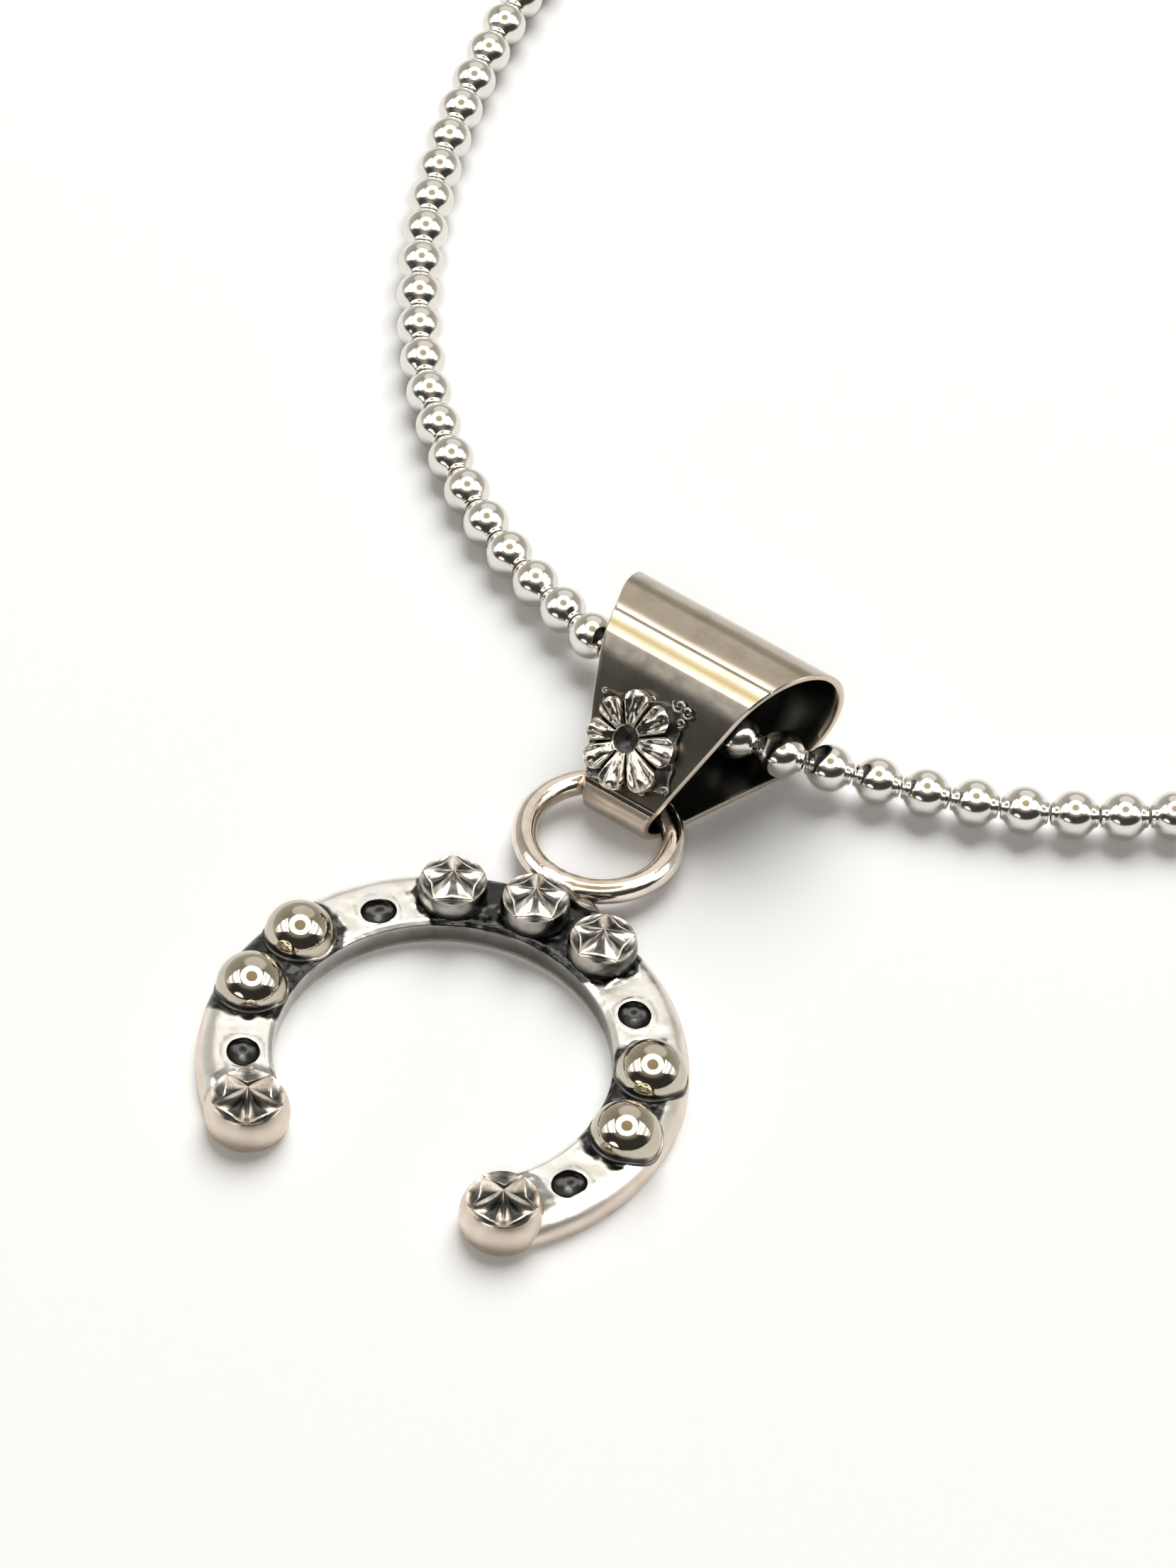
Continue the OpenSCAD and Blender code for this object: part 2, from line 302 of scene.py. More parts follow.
# Grey of tarnish, also used as the painted shade line along the crescent's outer foot.
TARNISH_AND_SHADE = (0.20, 0.19, 0.172, 1.0)
# Rubbed satin, also the painted light band on the bail's tube.
RUBBED_AND_SHEEN, RUBBED_ROUGHNESS = (0.72, 0.62, 0.53, 1.0), 0.40
STAIN_SHARES = (0.62, 0.58, 0.50, 1.0)
# Scale to the millimetre, detail and roughness of the noise in the finish, and where its fades run.
SPECKLE, CLOUD = (1.1, 1.5, 0.5), (0.55, 3.0, 0.55)
SOOT_AND_SHADE_EDGE, STAIN_EDGE, GREY_EDGE = (0.25, 0.85), (0.42, 0.72), (0.0, 0.1)


def smooth_step(a, b, x):
    x = min(max((x - a) / (b - a), 0.0), 1.0)
    return x * x * (3.0 - 2.0 * x)


def bell(x, middle, width):
    """1 at the middle, falling off on both sides."""
    return math.exp(-((x - middle) / width) ** 2)


def ripple(x, y, z, scale, seed=0.0):
    return noise.noise(Vector((x * scale + seed, y * scale - seed, z * scale + 2.0 * seed)))


def around(count):
    """The angles of equal steps round a circle."""
    return [2 * math.pi * k / count for k in range(count)]


def on_crescent(angle, radius, z):
    """A point by its angle to the left of the apex, its radius and its height."""
    a = math.radians(angle)
    return Vector((-radius * math.sin(a), radius * math.cos(a), z))


def band_top(t):
    """Height of the band's top at t, the distance out from its middle line."""
    over = t - (BAND_W / 2 - BAND_ROUND)
    if over > 0.0:
        return BAND_T - BAND_ROUND + math.sqrt(max(BAND_ROUND ** 2 - min(over, BAND_ROUND) ** 2, 0.0))
    return min(BAND_T, BAND_T - BAND_BEVEL + t + BAND_W / 2)


def make_piece(name, points, faces, material, soot_and_shade=None, sharp=None, tarnish_and_painted_light=None):
    """A smooth closed mesh from points in millimetres, with its soot and tarnish, painted shade and painted
    light among them, kept on its points.
    """
    mesh = bpy.data.meshes.new(name)
    mesh.from_pydata([Vector(p) * mm for p in points], [], faces)
    for layer, values in (("soot_and_shade", soot_and_shade), ("tarnish_and_painted_light", tarnish_and_painted_light)):
        if values:
            mesh.attributes.new(layer, "FLOAT", "POINT").data.foreach_set("value", values)
    shape = bmesh.new()
    shape.from_mesh(mesh)
    bmesh.ops.remove_doubles(shape, verts=shape.verts, dist=0.0005 * mm)
    bmesh.ops.recalc_face_normals(shape, faces=shape.faces)
    shape.to_mesh(mesh)
    shape.free()
    mesh.shade_smooth()
    if sharp:
        mesh.set_sharp_from_angle(angle=math.radians(sharp))
    mesh.materials.append(material)
    piece = bpy.data.objects.new(name, mesh)
    bpy.context.scene.collection.objects.link(piece)
    return piece


def loft(rings, closed_ends=True):
    """Faces between rings of points of one size, and a face across each end."""
    size = len(rings[0])
    points = [p for ring in rings for p in ring]
    faces = []
    for i in range(len(rings) - 1):
        for k in range(size):
            n = (k + 1) % size
            faces.append((i * size + k, i * size + n, (i + 1) * size + n, (i + 1) * size + k))
    if closed_ends:
        faces.append(tuple(range(size))[::-1])
        faces.append(tuple((len(rings) - 1) * size + k for k in range(size)))
    return points, faces


def join(shapes):
    """Several shapes' points and faces as those of one shape."""
    points, faces = [], []
    for more_points, more_faces in shapes:
        faces += [tuple(i + len(points) for i in face) for face in more_faces]
        points += more_points
    return points, faces


def clouds(tree, place, scale, detail, roughness=0.5):
    """Soft noise from 0 to 1."""
    return add_node(tree, "ShaderNodeTexNoise", {"Vector": place, "Scale": scale, "Detail": detail,
                                                 "Roughness": roughness}).outputs["Fac"]


def silver_finish(name, bright, roughness, soot_and_shade_roughness=0.30, grain=6.0, dent=0.004, stain=0.3,
                  brushed=None, ragged=0.6, rubbed_and_sheen_to=RUBBED_AND_SHEEN, tarnished_and_shaded_to=TARNISH_AND_SHADE):
    """Silver with faint stains and fine dents, blackened by the piece's soot and by painted shade.

    Tarnish above 0 greys it, as painted shade in some places, and tarnish below 0 leaves it rubbed to a
    satin, lightened as a painted sheen in some places.
    """
    material = bpy.data.materials.new(name)
    material.use_nodes = True
    tree = material.node_tree
    shader = tree.nodes["Principled BSDF"]
    shader.inputs["Metallic"].default_value = 1.0
    place = add_node(tree, "ShaderNodeTexCoord").outputs["Object"]
    place = add_node(tree, "ShaderNodeMapping", {"Vector": place, "Scale": (1 / mm, 1 / mm, 1 / mm)})
    place = place.outputs[0]
    edge = times(tree, reckon(tree, "SUBTRACT", clouds(tree, place, *SPECKLE), 0.5), ragged)
    soot_and_shade = add_node(tree, "ShaderNodeAttribute", attribute_name="soot_and_shade").outputs["Fac"]
    black = fade(tree, reckon(tree, "ADD", soot_and_shade, edge), *SOOT_AND_SHADE_EDGE)
    tarnish_and_painted_light = add_node(tree, "ShaderNodeAttribute", attribute_name="tarnish_and_painted_light").outputs["Fac"]
    grey = reckon(tree, "ADD", tarnish_and_painted_light, times(tree, edge, 0.3), clamp=True)
    grey = times(tree, grey, fade(tree, tarnish_and_painted_light, *GREY_EDGE))
    worn_and_sheen = reckon(tree, "MULTIPLY", tarnish_and_painted_light, -1.0, clamp=True)

    cloud = clouds(tree, place, *CLOUD)
    stained = tuple(colour * share for colour, share in zip(bright, STAIN_SHARES))
    colour = mixed(tree, times(tree, fade(tree, cloud, *STAIN_EDGE), stain), bright, stained)
    colour = mixed(tree, grey, colour, tarnished_and_shaded_to)
    colour = mixed(tree, worn_and_sheen, colour, rubbed_and_sheen_to)
    tree.links.new(mixed(tree, black, colour, SOOT_AND_SHADE), shader.inputs["Base Color"])
    uneven = add_node(tree, "ShaderNodeMath", {0: cloud, 1: roughness * 0.5, 2: roughness * 0.75},
                      operation="MULTIPLY_ADD").outputs[0]
    satin = add_node(tree, "ShaderNodeMix", {0: worn_and_sheen, 2: uneven, 3: RUBBED_ROUGHNESS}).outputs[0]
    rough = add_node(tree, "ShaderNodeMix", {0: black, 2: satin, 3: soot_and_shade_roughness}).outputs[0]
    tree.links.new(rough, shader.inputs["Roughness"])

    if brushed:
        lines = add_node(tree, "ShaderNodeMapping", {"Vector": place, "Rotation": brushed[0],
                                                     "Scale": brushed[1]}).outputs[0]
        texture = clouds(tree, lines, 1.0, 4.0)
    else:
        texture = clouds(tree, place, grain, 4.0)
    bump = add_node(tree, "ShaderNodeBump", {"Height": texture, "Distance": dent * mm, "Strength": 1.0})
    tree.links.new(bump.outputs[0], shader.inputs["Normal"])
    return material


def crescent_columns():
    """Angles of the band's cross-sections, with one through the middle of each hollow."""
    stops = [-TIP_ANGLE] + [angle for angle, _ in HOLLOWS] + [TIP_ANGLE]
    angles, marks = [stops[0]], []
    for a, b in zip(stops, stops[1:]):
        steps = round((b - a) / COLUMN_STEP)
        angles += [a + (b - a) * (k + 1) / steps for k in range(steps)]
        marks.append(len(angles) - 1)
    return angles, marks[:-1]


def band_section():
    """Points round the band's section as (distance out, height), and the hollow's place in them."""
    inner, outer = -BAND_W / 2, BAND_W / 2
    start, end = inner + BAND_BEVEL, outer - BAND_ROUND
    middle = HOLLOW_ROW - CRESCENT_R
    section = [(inner, z) for z in INNER_WALL]
    section += [(inner + BAND_BEVEL * k / BEVEL_FACES, BAND_T - BAND_BEVEL + BAND_BEVEL * k / BEVEL_FACES)
                for k in range(BEVEL_FACES)]
    section += [(start + (middle - start) * k / INNER_FACES, BAND_T) for k in range(INNER_FACES)]
    hollow_place = len(section)
    section += [(middle + (end - middle) * k / OUTER_FACES, BAND_T) for k in range(OUTER_FACES)]
    for k in range(ROUND_FACES + 1):
        a = math.radians(90.0 * k / ROUND_FACES)
        section.append((end + BAND_ROUND * math.sin(a), BAND_T - BAND_ROUND + BAND_ROUND * math.cos(a)))
    section += [(outer, 0.2), (outer, 0.0), (1.2, 0.0), (0.0, 0.0), (-1.2, 0.0)]
    return section, hollow_place


def soot_on_band(angle, t, z):
    """1 where the band is black: between neighbouring balls and at their feet."""
    here = on_crescent(angle, CRESCENT_R + t, 0.0)
    wander = 0.34 * ripple(here.x, here.y, 0.0, 1.15, 3.0) + 0.10 * ripple(here.x, here.y, 0.0, 2.2, 6.0)
    bend = abs(angle) + 5.0 * wander
    soot_and_shade = 1.0 - smooth_step(STAR_ANGLE - 1.0, STAR_ANGLE + 1.0, bend)
    soot_and_shade = max(soot_and_shade, min(smooth_step(PLAIN_ANGLES[0] - 1, PLAIN_ANGLES[0] + 1, bend),
                         1.0 - smooth_step(PLAIN_ANGLES[1] - 1, PLAIN_ANGLES[1] + 1, bend)))
    for feet, radius, spread, shade in FEET:
        for foot in feet:
            for turn in (-foot, foot):
                gap = (here - on_crescent(turn, CRESCENT_R, 0.0)).length - radius + 1.3 * wander
                soot_and_shade = max(soot_and_shade, shade * (1.0 - smooth_step(spread * 0.25, spread * 1.2, gap)))
    if t < -BAND_W / 2 + 0.02:
        soot_and_shade *= 0.6 * smooth_step(1.0, BAND_T - BAND_BEVEL + 0.1, z)
    if t > BAND_W / 2 - 0.3:
        soot_and_shade *= 0.35 + 0.65 * smooth_step(0.0, 0.9, z)
    if angle < -STAR_ANGLE - 12.0:
        soot_and_shade *= 1.0 - smooth_step(1.05, 1.6, t)
    return soot_and_shade


def tarnish_on_band(angle, t, z):
    """Grey on the inner wall, the back and the tips' feet, rubbed on the outer wall, and a painted shade line
    along the outer wall's foot.
    """
    here = on_crescent(angle, CRESCENT_R + t, z)
    if z < 0.02:
        return 0.35
    if t < -BAND_W / 2 + 0.02 and z < BAND_T - BAND_BEVEL + 0.05:
        return 0.95 - 0.45 * smooth_step(20.0, 120.0, abs(angle)) - 0.2 * smooth_step(0.9, 1.4, z)
    if t > BAND_W / 2 - 0.85:
        # Painted contact shade: a grey line along the foot of the outer wall, where it meets the table.
        if z < 0.12:
            return 0.7
        return -smooth_step(1.5, 1.0, z) * (0.9 + 0.35 * ripple(here.x, here.y, here.z, 0.9, 4.0))
    for tip in (-TIP_ANGLE, TIP_ANGLE):
        gap = (here - on_crescent(tip, CRESCENT_R, z)).length - TIP_BALL_R
        if gap < 0.6:
            return 0.75 * smooth_step(0.6, 0.45, gap + 0.12 * ripple(angle, t, 0.0, 1.1))
    return 0.0


def near_hollow(di, dj, angle, t, black, grey, hollow):
    """A point di and dj cells from a hollow's middle: angle, distance out, height, soot and tarnish."""
    mark, hollow_angle, hollow_at = hollow
    middle = hollow_at - CRESCENT_R
    if di == dj == 0:
        return angle, middle, BAND_T - HOLLOW_DEPTH, 0.68, grey
    away, cells = math.hypot(di, dj), max(abs(di), abs(dj))
    share = cells / HOLLOW_CELLS
    reach = math.sin(math.pi / 2 * share) if share <= 1.0 else share
    along = HOLLOW_STRETCH * reach * HOLLOW_R * di / away
    wide = reach * HOLLOW_R * dj / away
    ease = min(max((cells - HOLLOW_CELLS) / EASE_CELLS, 0.0), 1.0)
    here = (1 - ease) * (hollow_angle + math.degrees(along / hollow_at)) + ease * angle
    out = (1 - ease) * (middle + wide) + ease * t
    if share <= 1.0:
        height = BAND_T - HOLLOW_DEPTH * math.sqrt(max(1.0 - reach * reach, 0.0))
        height += 0.05 * (1 - reach) * ripple(along * 2.5, wide * 2.5, mark * 0.37, 1.0)
        black = 0.35 if reach > 0.985 else 0.7 if reach < 0.25 else 0.95
    else:
        past = math.radians(here - hollow_angle) * hollow_at / HOLLOW_STRETCH
        far = math.hypot(past, out - middle) / HOLLOW_R + 0.05 * ripple(along, wide, mark * 1.3, 1.4)
        height = band_top(out) + LIP[2] * bell(far, LIP[0], LIP[1])
        grey = max(grey, GREY_RING[2] * bell(far, GREY_RING[0], GREY_RING[1]))
    return here, out, height, black, grey


def roughen(p, height, t, black):
    """Lifts a point of the band's upper side for the casting's waves, the solder's edge and its lumps."""
    low = smooth_step(0.3, 1.2, height)
    p.z += low * (0.03 * ripple(p.x, p.y, 0.0, 0.55) + 0.018 * ripple(p.x, p.y, 0.0, 1.9, 5.0))
    if abs(t) < 1.6:
        p.z += 0.06 * bell(black, 0.4, 0.22) * (0.6 + ripple(p.x, p.y, 0.0, 1.3, 4.0))
    if height > BAND_T - 0.2:
        p.z += black * low * (0.10 * ripple(p.x, p.y, 0.0, 1.4, 9.0) + 0.05 * ripple(p.x, p.y, 0.0, 3.1, 7.0))


def crescent():
    angles, marks = crescent_columns()
    section, hollow_place = band_section()
    hollows = [(mark, angles[mark], hollow_at) for mark, (_, hollow_at) in zip(marks, HOLLOWS)]
    rings, soot_and_shade, tarnish_and_painted_light = [], [], []
    for i, angle in enumerate(angles):
        ring = []
        for j, (t, z) in enumerate(section):
            here, out, height = angle, t, z
            black, grey = soot_on_band(angle, t, z), tarnish_on_band(angle, t, z)
            for hollow in hollows:
                di, dj = i - hollow[0], j - hollow_place
                if max(abs(di), abs(dj)) < HOLLOW_CELLS + EASE_CELLS:
                    here, out, height, black, grey = near_hollow(di, dj, angle, t, black, grey, hollow)
            p = on_crescent(here, CRESCENT_R + out, height)
            if height > 0.3:
                roughen(p, height, t, black)
            ring.append(p)
            soot_and_shade.append(black)
            tarnish_and_painted_light.append(grey)
        rings.append(ring)
    points, faces = loft(rings)
    satin = silver_finish("satin_silver", SILVER, 0.28, soot_and_shade_roughness=0.22, dent=0.008, stain=0.5)
    piece = make_piece("crescent", points, faces, satin, soot_and_shade, sharp=50, tarnish_and_painted_light=tarnish_and_painted_light)
    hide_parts("naja")
    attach(piece, "root")


crescent()

# Plain balls. Four domes pressed from sheet, each with a thin flange at its foot where it was cut
# out, soldered to the band. They have the highest polish of the whole piece. One is made for each
# half of the crescent, black at its foot toward the tip, and turned about the crescent's middle.
PLAIN_BALL_Z = 1.65
FLANGE = 0.13
FLANGE_PROFILE = (
    # share of the flange's width, drop below the foot, soot
    (0.45, 0.035, 0.6), (0.95, 0.05, 0.4), (1.1, 0.12, 0.6), (1.0, 0.35, 0.9),
)
DOME_SIDES, DOME_ROWS = 96, 26
BALL_LIFT = 0.14


def foot_turn(radius, centre_z, a):
    """How far down a ball's side, as an angle from its top, the ball meets the band."""
    low, high = 0.3, math.pi * 0.75
    for _ in range(40):
        middle = (low + high) / 2
        out = radius * math.sin(middle)
        t = math.hypot(out * math.sin(a), CRESCENT_R + out * math.cos(a)) - CRESCENT_R
        if centre_z + radius * math.cos(middle) > band_top(min(t, BAND_W / 2)) + BALL_LIFT:
            low = middle
        else:
            high = middle
    return low


def dome(radius, centre_z, side):
    """A ball at the apex whose foot and flange follow the band. Side 1 blackens its left foot."""
    rows = DOME_ROWS
    rings = [[] for _ in range(rows + 1 + len(FLANGE_PROFILE))]
    soot_and_shade = [[] for _ in rings]
    for a in around(DOME_SIDES):
        foot = foot_turn(radius, centre_z, a)
        dark = smooth_step(-0.1, 0.7, math.sin(a) * side)
        spots = []
        for row in range(rows + 1):
            turn = foot * (row + 1) / (rows + 1)
            black = max(0.45 * (row > rows - 3), 0.9 * dark * smooth_step(rows - 5, rows - 1, row))
            spots.append((radius * math.sin(turn), centre_z + radius * math.cos(turn), black))
        out, z, _ = spots[-1]
        spots += [(out + FLANGE * wide, z - drop, max(black, 0.85 * dark))
                  for wide, drop, black in FLANGE_PROFILE]
        for row, (out, z, black) in enumerate(spots):
            rings[row].append(Vector((-out * math.sin(a), CRESCENT_R + out * math.cos(a), z)))
            soot_and_shade[row].append(black)
    points, faces = loft(rings)
    return points, faces, sum(soot_and_shade, [])


def set_out(name, one, places, vectors, material, along=False):
    """Copies of one piece as a plain mesh, made by a node tree. The one is then deleted.

    A copy stands at each place, turned by its vector's angles, or with its Z along the vector.
    """
    seats = bpy.data.meshes.new(name)
    seats.from_pydata([Vector(place) * mm for place in places], [], [])
    way = seats.attributes.new("way", "FLOAT_VECTOR", "POINT")
    way.data.foreach_set("vector", [x for vector in vectors for x in vector])
    piece = bpy.data.objects.new(name, seats)
    bpy.context.scene.collection.objects.link(piece)

    tree = bpy.data.node_groups.new(name + "_set_out", "GeometryNodeTree")
    sockets = {}
    for label, kind in (("Geometry", "Geometry"), ("Shape", "Object"), ("Size", "Float"),
                        ("Finish", "Material")):
        sockets[label] = tree.interface.new_socket(name=label, in_out="INPUT",
                                                   socket_type="NodeSocket" + kind)
    tree.interface.new_socket(name="Geometry", in_out="OUTPUT", socket_type="NodeSocketGeometry")
    enter = add_node(tree, "NodeGroupInput").outputs
    shape = add_node(tree, "GeometryNodeObjectInfo", {"Object": enter["Shape"]}).outputs["Geometry"]
    turn = add_node(tree, "GeometryNodeInputNamedAttribute", {"Name": "way"},
                    data_type="FLOAT_VECTOR").outputs["Attribute"]
    if along:
        turn = add_node(tree, "FunctionNodeAlignRotationToVector", {"Vector": turn}, axis="Z").outputs[0]
    seat = add_node(tree, "GeometryNodeMeshToPoints", {"Mesh": enter["Geometry"]}).outputs[0]
    copies = add_node(tree, "GeometryNodeInstanceOnPoints",
                      {"Points": seat, "Instance": shape, "Rotation": turn, "Scale": enter["Size"]})
    real = add_node(tree, "GeometryNodeRealizeInstances", {"Geometry": copies.outputs[0]})
    finish = add_node(tree, "GeometryNodeSetMaterial",
                      {"Geometry": real.outputs[0], "Material": enter["Finish"]})
    add_node(tree, "NodeGroupOutput", {0: finish.outputs[0]})

    modifier = piece.modifiers.new("set_out", "NODES")
    modifier.node_group = tree
    for label, value in (("Shape", one), ("Size", 1.0), ("Finish", material)):
        modifier[sockets[label].identifier] = value
    bpy.context.view_layer.update()
    graph = bpy.context.evaluated_depsgraph_get()
    mesh = bpy.data.meshes.new_from_object(piece.evaluated_get(graph), depsgraph=graph)
    piece.modifiers.clear()
    piece.data = mesh
    mesh.name = name
    mesh.materials.clear()
    mesh.materials.append(material)
    mesh.shade_smooth()
    bpy.data.objects.remove(one)
    return piece


def plain_balls(name, side, material):
    points, faces, soot_and_shade = dome(BALL_R, PLAIN_BALL_Z, side)
    one = make_piece("one_dome", points, faces, material, soot_and_shade)
    turns = [(0.0, 0.0, math.radians(side * angle)) for angle in PLAIN_ANGLES]
    piece = set_out(name, one, [(0.0, 0.0, 0.0)] * len(turns), turns, material)
    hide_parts("naja")
    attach(piece, "root")


ball_silver = silver_finish("ball_silver", (0.57, 0.52, 0.43, 1.0), 0.07, grain=1.2, dent=0.006, stain=0.4)
plain_balls("left_plain_balls", 1, ball_silver)
plain_balls("right_plain_balls", -1, ball_silver)

# Star balls. Solid balls of silver, each struck with a punch that leaves a five-pointed star with
# sharp ridges and hollowed faces, no two quite alike. The edge round the star is pressed down. Three
# crown the crescent, and a larger one ends each tip, where its sides are rubbed to a satin.
STARS = (
    # angle, radius, centre height, peak, reach, waist, waist height, turn
    (STAR_ANGLE, BALL_R, 2.25, 1.63, 1.93, 1.42, 0.84, 0.0),
    (0.0, BALL_R, 2.25, 1.63, 1.93, 1.42, 0.84, 22.0),
    (-STAR_ANGLE, BALL_R, 2.25, 1.63, 1.93, 1.42, 0.84, 40.0),
    (TIP_ANGLE, TIP_BALL_R, 0.95, 2.22, 2.10, 1.50, 0.98, -3.5),
    (-TIP_ANGLE, TIP_BALL_R, 0.95, 2.22, 2.06, 1.50, 0.98, 56.0),
)
STAR_SIDES = 240
FACE_ROWS, EDGE_ROWS, SIDE_ROWS = 18, 5, 22
HALF_POINT = 180.0 / 5
RIDGE_BOW, VALLEY_BOW = 1.25, 1.9
CREST_SHARE, CREST_WIDTH = 0.32, 0.12
BRIM = 0.03
EDGE_DROP, EDGE_DIP = 0.16, 0.10


def star_edge(share, reach, waist):
    """How far out the star's edge is, from its points' reach to its waist between two points."""
    return waist + (reach - waist) * (1.0 - share) ** 1.8


def star_height(radial, share, radius, peak, reach, waist_z):
    """Height above the ball's centre inside the star. share is 0 on a ridge and 1 midway between two."""
    point_z = math.sqrt(radius ** 2 - reach ** 2)
    ridge = peak - (peak - point_z) * radial ** RIDGE_BOW
    valley = peak - (peak - waist_z) * (1.0 - (1.0 - radial) ** VALLEY_BOW)
    sink = CREST_SHARE * (1.0 - math.exp(-(share / CREST_WIDTH) ** 1.3))
    sink += (1.0 - CREST_SHARE) * (1.0 - (1.0 - share) ** 1.25)
    return ridge + (valley - ridge) * sink


def star_face(radial, share, edge, radius, peak, reach, waist_z, at_tip):
    """Distance out, height, soot and tarnish inside the star. radial is 0 at its peak, 1 at its edge."""
    z = star_height(radial, share, radius, peak, reach, waist_z)
    black = 0.85 * smooth_step(0.36, 0.7, share) * smooth_step(0.12, 0.4, radial)
    black *= smooth_step(1.0, 0.88, radial) * (1.05 if at_tip else 0.95)
    grey = 0.7 * smooth_step(0.32, 0.5, share) * smooth_step(0.05, 0.25, radial)
    grey -= 0.5 * smooth_step(0.12, 0.04, share) + 1.6 * smooth_step(0.92, 1.0, radial)
    return edge * radial, z, black, grey


def pressed_edge(row, share, edge, radius, brim, rim_z):
    """The same on one of the rows between the star and the ball's side."""
    step = row / EDGE_ROWS
    out = edge + (brim - edge) * (0.08 + 0.92 * (step - 0.2) / 0.8)
    start, end = rim_z - EDGE_DROP * share, math.sqrt(radius ** 2 - brim ** 2)
    z = start + (end - start) * step - EDGE_DIP * share * math.sin(math.pi * min(step, 1.0))
    # The black in the pressed edge under the star's rim is partly oxide and partly painted shade.
    return out, z, (0.4 + 0.6 * share) * smooth_step(1.15, 0.5, step), 0.6


def star_ball(angle, radius, centre_z, peak, reach, waist, waist_z, turn):
    at_tip = centre_z < radius
    brim = reach + BRIM
    begin = math.asin(brim / radius)
    bottom = math.pi - math.acos(centre_z / radius) if at_tip else math.pi * 0.78
    centre = on_crescent(angle, CRESCENT_R, centre_z)
    rings, soot_and_shade, tarnish_and_painted_light = [], [], []
    for row in range(1, FACE_ROWS + EDGE_ROWS + SIDE_ROWS + 1):
        ring = []
        for a in around(STAR_SIDES):
            share = abs((math.degrees(a) + HALF_POINT) % (2 * HALF_POINT) - HALF_POINT) / HALF_POINT
            struck = ripple(math.cos(a), math.sin(a), angle, 1.3, 5.0)
            edge = star_edge(share, reach, waist) * (0.985 + 0.03 * struck)
            spin = a + math.radians(turn) + 0.13 * struck
            if row <= FACE_ROWS:
                radial = math.sin(math.pi / 2 * row / FACE_ROWS)
                out, z, black, grey = star_face(radial, share, edge, radius, peak, reach, waist_z, at_tip)
                z += 0.045 * radial * ripple(out * math.cos(a), out * math.sin(a), angle, 1.6, 7.0)
            elif row <= FACE_ROWS + EDGE_ROWS:
                rim_z = star_height(1.0, share, radius, peak, reach, waist_z)
                out, z, black, grey = pressed_edge(row - FACE_ROWS, share, edge, radius, brim, rim_z)
            else:
                down = begin + (bottom - begin) * ((row - FACE_ROWS - EDGE_ROWS) / SIDE_ROWS)
                out, z = radius * math.sin(down), radius * math.cos(down)
            p = Vector((-out * math.sin(spin), out * math.cos(spin), z))
            if row > FACE_ROWS + EDGE_ROWS:
                beside = smooth_step(0.55, 0.95, abs(math.sin(spin)))
                black = 0.0 if at_tip else 1.0 - 0.62 * smooth_step(1.7, 2.5, centre_z + z) + 0.3 * beside
                grey = 0.35 * ripple(p.x, p.y, p.z, 1.3, 2.0) - 0.9 if at_tip else 0.7 + 0.3 * beside
            p = Matrix.Rotation(math.radians(angle), 3, "Z") @ (p + Vector((0.0, CRESCENT_R, centre_z)))
            if row > FACE_ROWS + 2:
                p += 0.02 * ripple(p.x, p.y, p.z, 0.8, 1.0) * (p - centre).normalized()
                p.z = max(p.z, 0.0)
            ring.append(p)
            soot_and_shade.append(black)
            tarnish_and_painted_light.append(grey)
        rings.append(ring)
    points, faces = loft(rings, closed_ends=False)
    faces.append(tuple(range(len(points) - STAR_SIDES, len(points))))
    faces += [(k, len(points), (k + 1) % STAR_SIDES) for k in range(STAR_SIDES)]
    points.append(on_crescent(angle, CRESCENT_R, centre_z + peak))
    return points, faces, soot_and_shade + [0.0], tarnish_and_painted_light + [0.2]


def star_balls(name, stars, material):
    balls = [star_ball(*star) for star in stars]
    points, faces = join([ball[:2] for ball in balls])
    soot_and_shade = sum((ball[2] for ball in balls), [])
    tarnish_and_painted_light = sum((ball[3] for ball in balls), [])
    piece = make_piece(name, points, faces, material, soot_and_shade, sharp=42, tarnish_and_painted_light=tarnish_and_painted_light)
    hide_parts("naja")
    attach(piece, "root")


star_silver = silver_finish("star_silver", (0.92, 0.85, 0.78, 1.0), 0.20, grain=4.0, dent=0.006, stain=0.4,
                            rubbed_and_sheen_to=(0.97, 0.91, 0.84, 1.0))
tip_silver = silver_finish("tip_silver", (0.92, 0.85, 0.78, 1.0), 0.20, grain=4.0, dent=0.010, stain=0.6)
star_balls("apex_star_balls", STARS[:3], star_silver)
star_balls("tip_star_balls", STARS[3:], tip_silver)

# Jump ring and solder. A ring of round drawn silver wire, soldered to the band's outer edge behind
# the middle star ball. The solder has run into black lumps beside it.
RING_R, WIRE_R = 4.5, 0.76
RING_CENTRE = Vector((0.6, 19.91, 1.3))
RING_TURNS, WIRE_SIDES = 160, 32
SOLDER_LUMPS = (
    # place, size
    ((0.6, 14.55, 0.95), (1.5, 0.7, 0.8)),
    ((-0.95, 14.5, 1.0), (0.75, 0.45, 0.6)),
    ((2.2, 14.3, 1.0), (1.1, 0.6, 0.75)),
    ((3.2, 13.9, 0.9), (0.6, 0.5, 0.65)),
)
LUMP_ROWS, LUMP_SIDES = 16, 28


